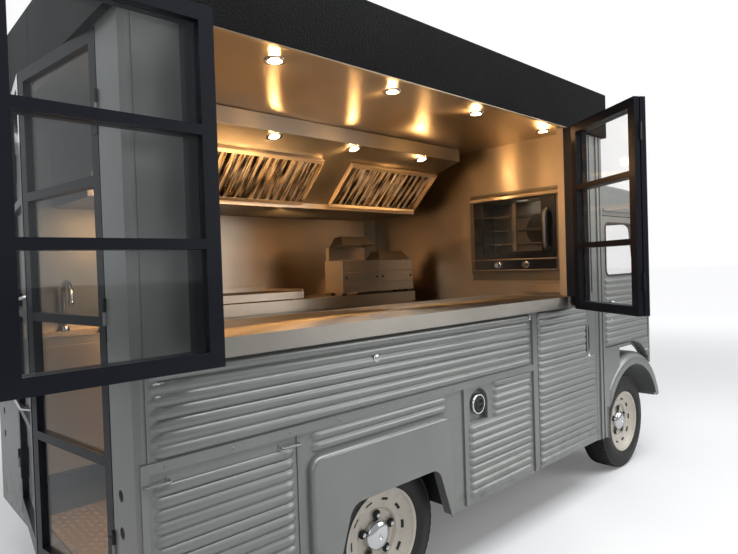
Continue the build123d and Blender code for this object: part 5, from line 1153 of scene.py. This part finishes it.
square = [(x * FLOOR_HALF, y * FLOOR_HALF, 0) for x, y in ((-1, -1), (1, -1), (1, 1), (-1, 1))]
plane.from_pydata(square, [], [(0, 1, 2, 3)])
plane.materials.append(ground.material)
floor = bpy.data.objects.new("studio_floor", plane)
scene.collection.objects.link(floor)
floor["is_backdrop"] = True

world = bpy.data.worlds.new("studio")
scene.world = world
world.use_nodes = True
world.node_tree.nodes.clear()
sky = Nodes(world.node_tree)
rays = world.node_tree.nodes.new("ShaderNodeLightPath")
camera_ray, glass_ray, glossy_ray = (Signal(sky, rays.outputs["Is %s Ray" % kind])
                                     for kind in ("Camera", "Transmission", "Glossy"))


def background(color, strength):
    """One flat light from all sides."""
    return sky.node("ShaderNodeBackground", {}, {"Color": color, "Strength": strength})


def mixed(factor, first, second):
    """The first light where the factor is 0, the second where it is 1."""
    return sky.node("ShaderNodeMixShader", {}, {0: factor, 1: first, 2: second})


cool = rgb(0.95, 0.98, 1.0)
seen = sky.node("ShaderNodeMath", {"operation": "MAXIMUM"}, {0: camera_ray, 1: glass_ray})
unseen = mixed(glossy_ray, background(cool, FILL), background(cool, SHINE))
sky.node("ShaderNodeOutputWorld", {}, {"Surface": mixed(seen, unseen, background(rgb(1, 1, 1), 1.0))})
print("world nodes", len(world.node_tree.nodes))

# %% [markdown]
# ## Daylight
# Broad soft panels model the ribs: a large one above, and weaker ones behind the camera, ahead of the nose
# on the right and on the left. Each is turned to face a point of the vehicle.

# %% Soft panels
def lamp_object(name, kind, place, power, color, **settings):
    """A lamp at a drawing place."""
    data = bpy.data.lights.new(name, kind)
    data.energy, data.color = power, color
    for key, value in settings.items():
        setattr(data, key, value)
    lamp = bpy.data.objects.new(name, data)
    scene.collection.objects.link(lamp)
    lamp.location = placed(place).tolist()
    return lamp


def soft_panel(name, place, target, size, power, color):
    """A rectangular light at a drawing place, turned to face a target."""
    lamp = lamp_object(name, "AREA", place, power, color, shape="RECTANGLE", size=size[0], size_y=size[1])
    aim = Vector(placed(target).tolist()) - lamp.location
    lamp.rotation_euler = aim.to_track_quat("-Z", "Y").to_euler()
    return lamp


COOL, SUNNY = (0.97, 0.99, 1.0), (1.0, 0.99, 0.97)
soft_panel("sky_panel", (1900, -2600, 6200), (1900, -900, 900), (8, 3), 470, COOL)
soft_panel("camera_light", (-4600, -3600, 3600), (600, -900, 1300), (3, 3), 55, COOL)
soft_panel("side_light", (6200, -5200, 2900), (2300, -900, 900), (4, 3), 140, SUNNY)
soft_panel("left_light", (2100, 6200, 5200), (2100, 900, 1000), (6, 4), 220, COOL)
print("panels", len([lamp for lamp in bpy.data.lights if lamp.type == "AREA"]))

# %% [markdown]
# ## Lamps of the kitchen
# Small round lamps sit in the ceiling and in the hood's soffit. Each is a turned lens and a bright ring,
# with a small warm light below it that washes the steel in gold, on top of the painted warm light in the
# steel's colour.
# Warm panels that the camera doesn't see stand for the light that many bounces between bright walls would
# give.

# %% Ceiling and hood lamps
WARM, OVEN_WARM = (1.0, 0.54, 0.2), (1.0, 0.86, 0.66)
SPOT_POWER, SPOT_DROP, SPOT_SIZE = 1.9, 30, 0.022
SOFFIT_DOWN = (0, -0.2635, -0.9647)
SPOT_LENS = [(0, 5.5), (24, 5.0), (30, 3.0), (30, 0.2), (0, 0.2)]
SPOT_RING = [(30.5, 0.2), (30.5, 6.0), (36, 8.0), (44, 6.0), (46, 0.2), (30.5, 0.2)]
spots = [((x, -825.0, CEILING_Z), (0, 0, -1)) for x in (673.0, 1347.0, 2015.0, 2731.0)]
spots += [((x, -100.0, 2295.7), SOFFIT_DOWN) for x in (1151.0, 1738.0, 2366.0)]
shell("spot_lenses", [lathe(SPOT_LENS, place, axis, 32) for place, axis in spots], "led_lens", smooth=50)
shell("spot_rings", [lathe(SPOT_RING, place, axis, 32) for place, axis in spots], "lamp_chrome", smooth=50)
for i, (place, axis) in enumerate(spots):
    below = np.asarray(place) + SPOT_DROP * np.asarray(axis)
    lamp_object("warm_lamp_%d" % i, "POINT", below, SPOT_POWER, WARM, shadow_soft_size=SPOT_SIZE)
washes = [soft_panel(name, place, target, size, power, WARM) for name, place, target, size, power in
          (("warm_bounce", (1500, -250, 2000), (1500, -250, 2400), (2.2, 0.7), 1.6),
           ("warm_wash", (1500, -500, 2330), (1500, 500, 1300), (2.4, 0.3), 1.6),
           ("warm_filter_wash", (1700, -420, 1420), (1700, 240, 2140), (2.0, 0.25), 22),
           ("warm_end_wash", (900, -150, 2050), (2900, 250, 1650), (0.9, 0.9), 2.4),
           ("warm_rear_wash", (1000, -350, 1950), (250, 750, 1050), (0.6, 0.6), 8))]
for lamp in washes:
    lamp.visible_camera = False
bpy.data.lights["warm_filter_wash"].spread = 1.0
lamp_object("oven_lamp", "POINT", (3010, -480, 1960), 0.12, OVEN_WARM, shadow_soft_size=0.05)
print("spots", len(spots))

# %% [markdown]
# ## Sizes
# The box of everything that is seen, the floor left out, is found.

# %% Sizes of the finished model
low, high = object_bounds()
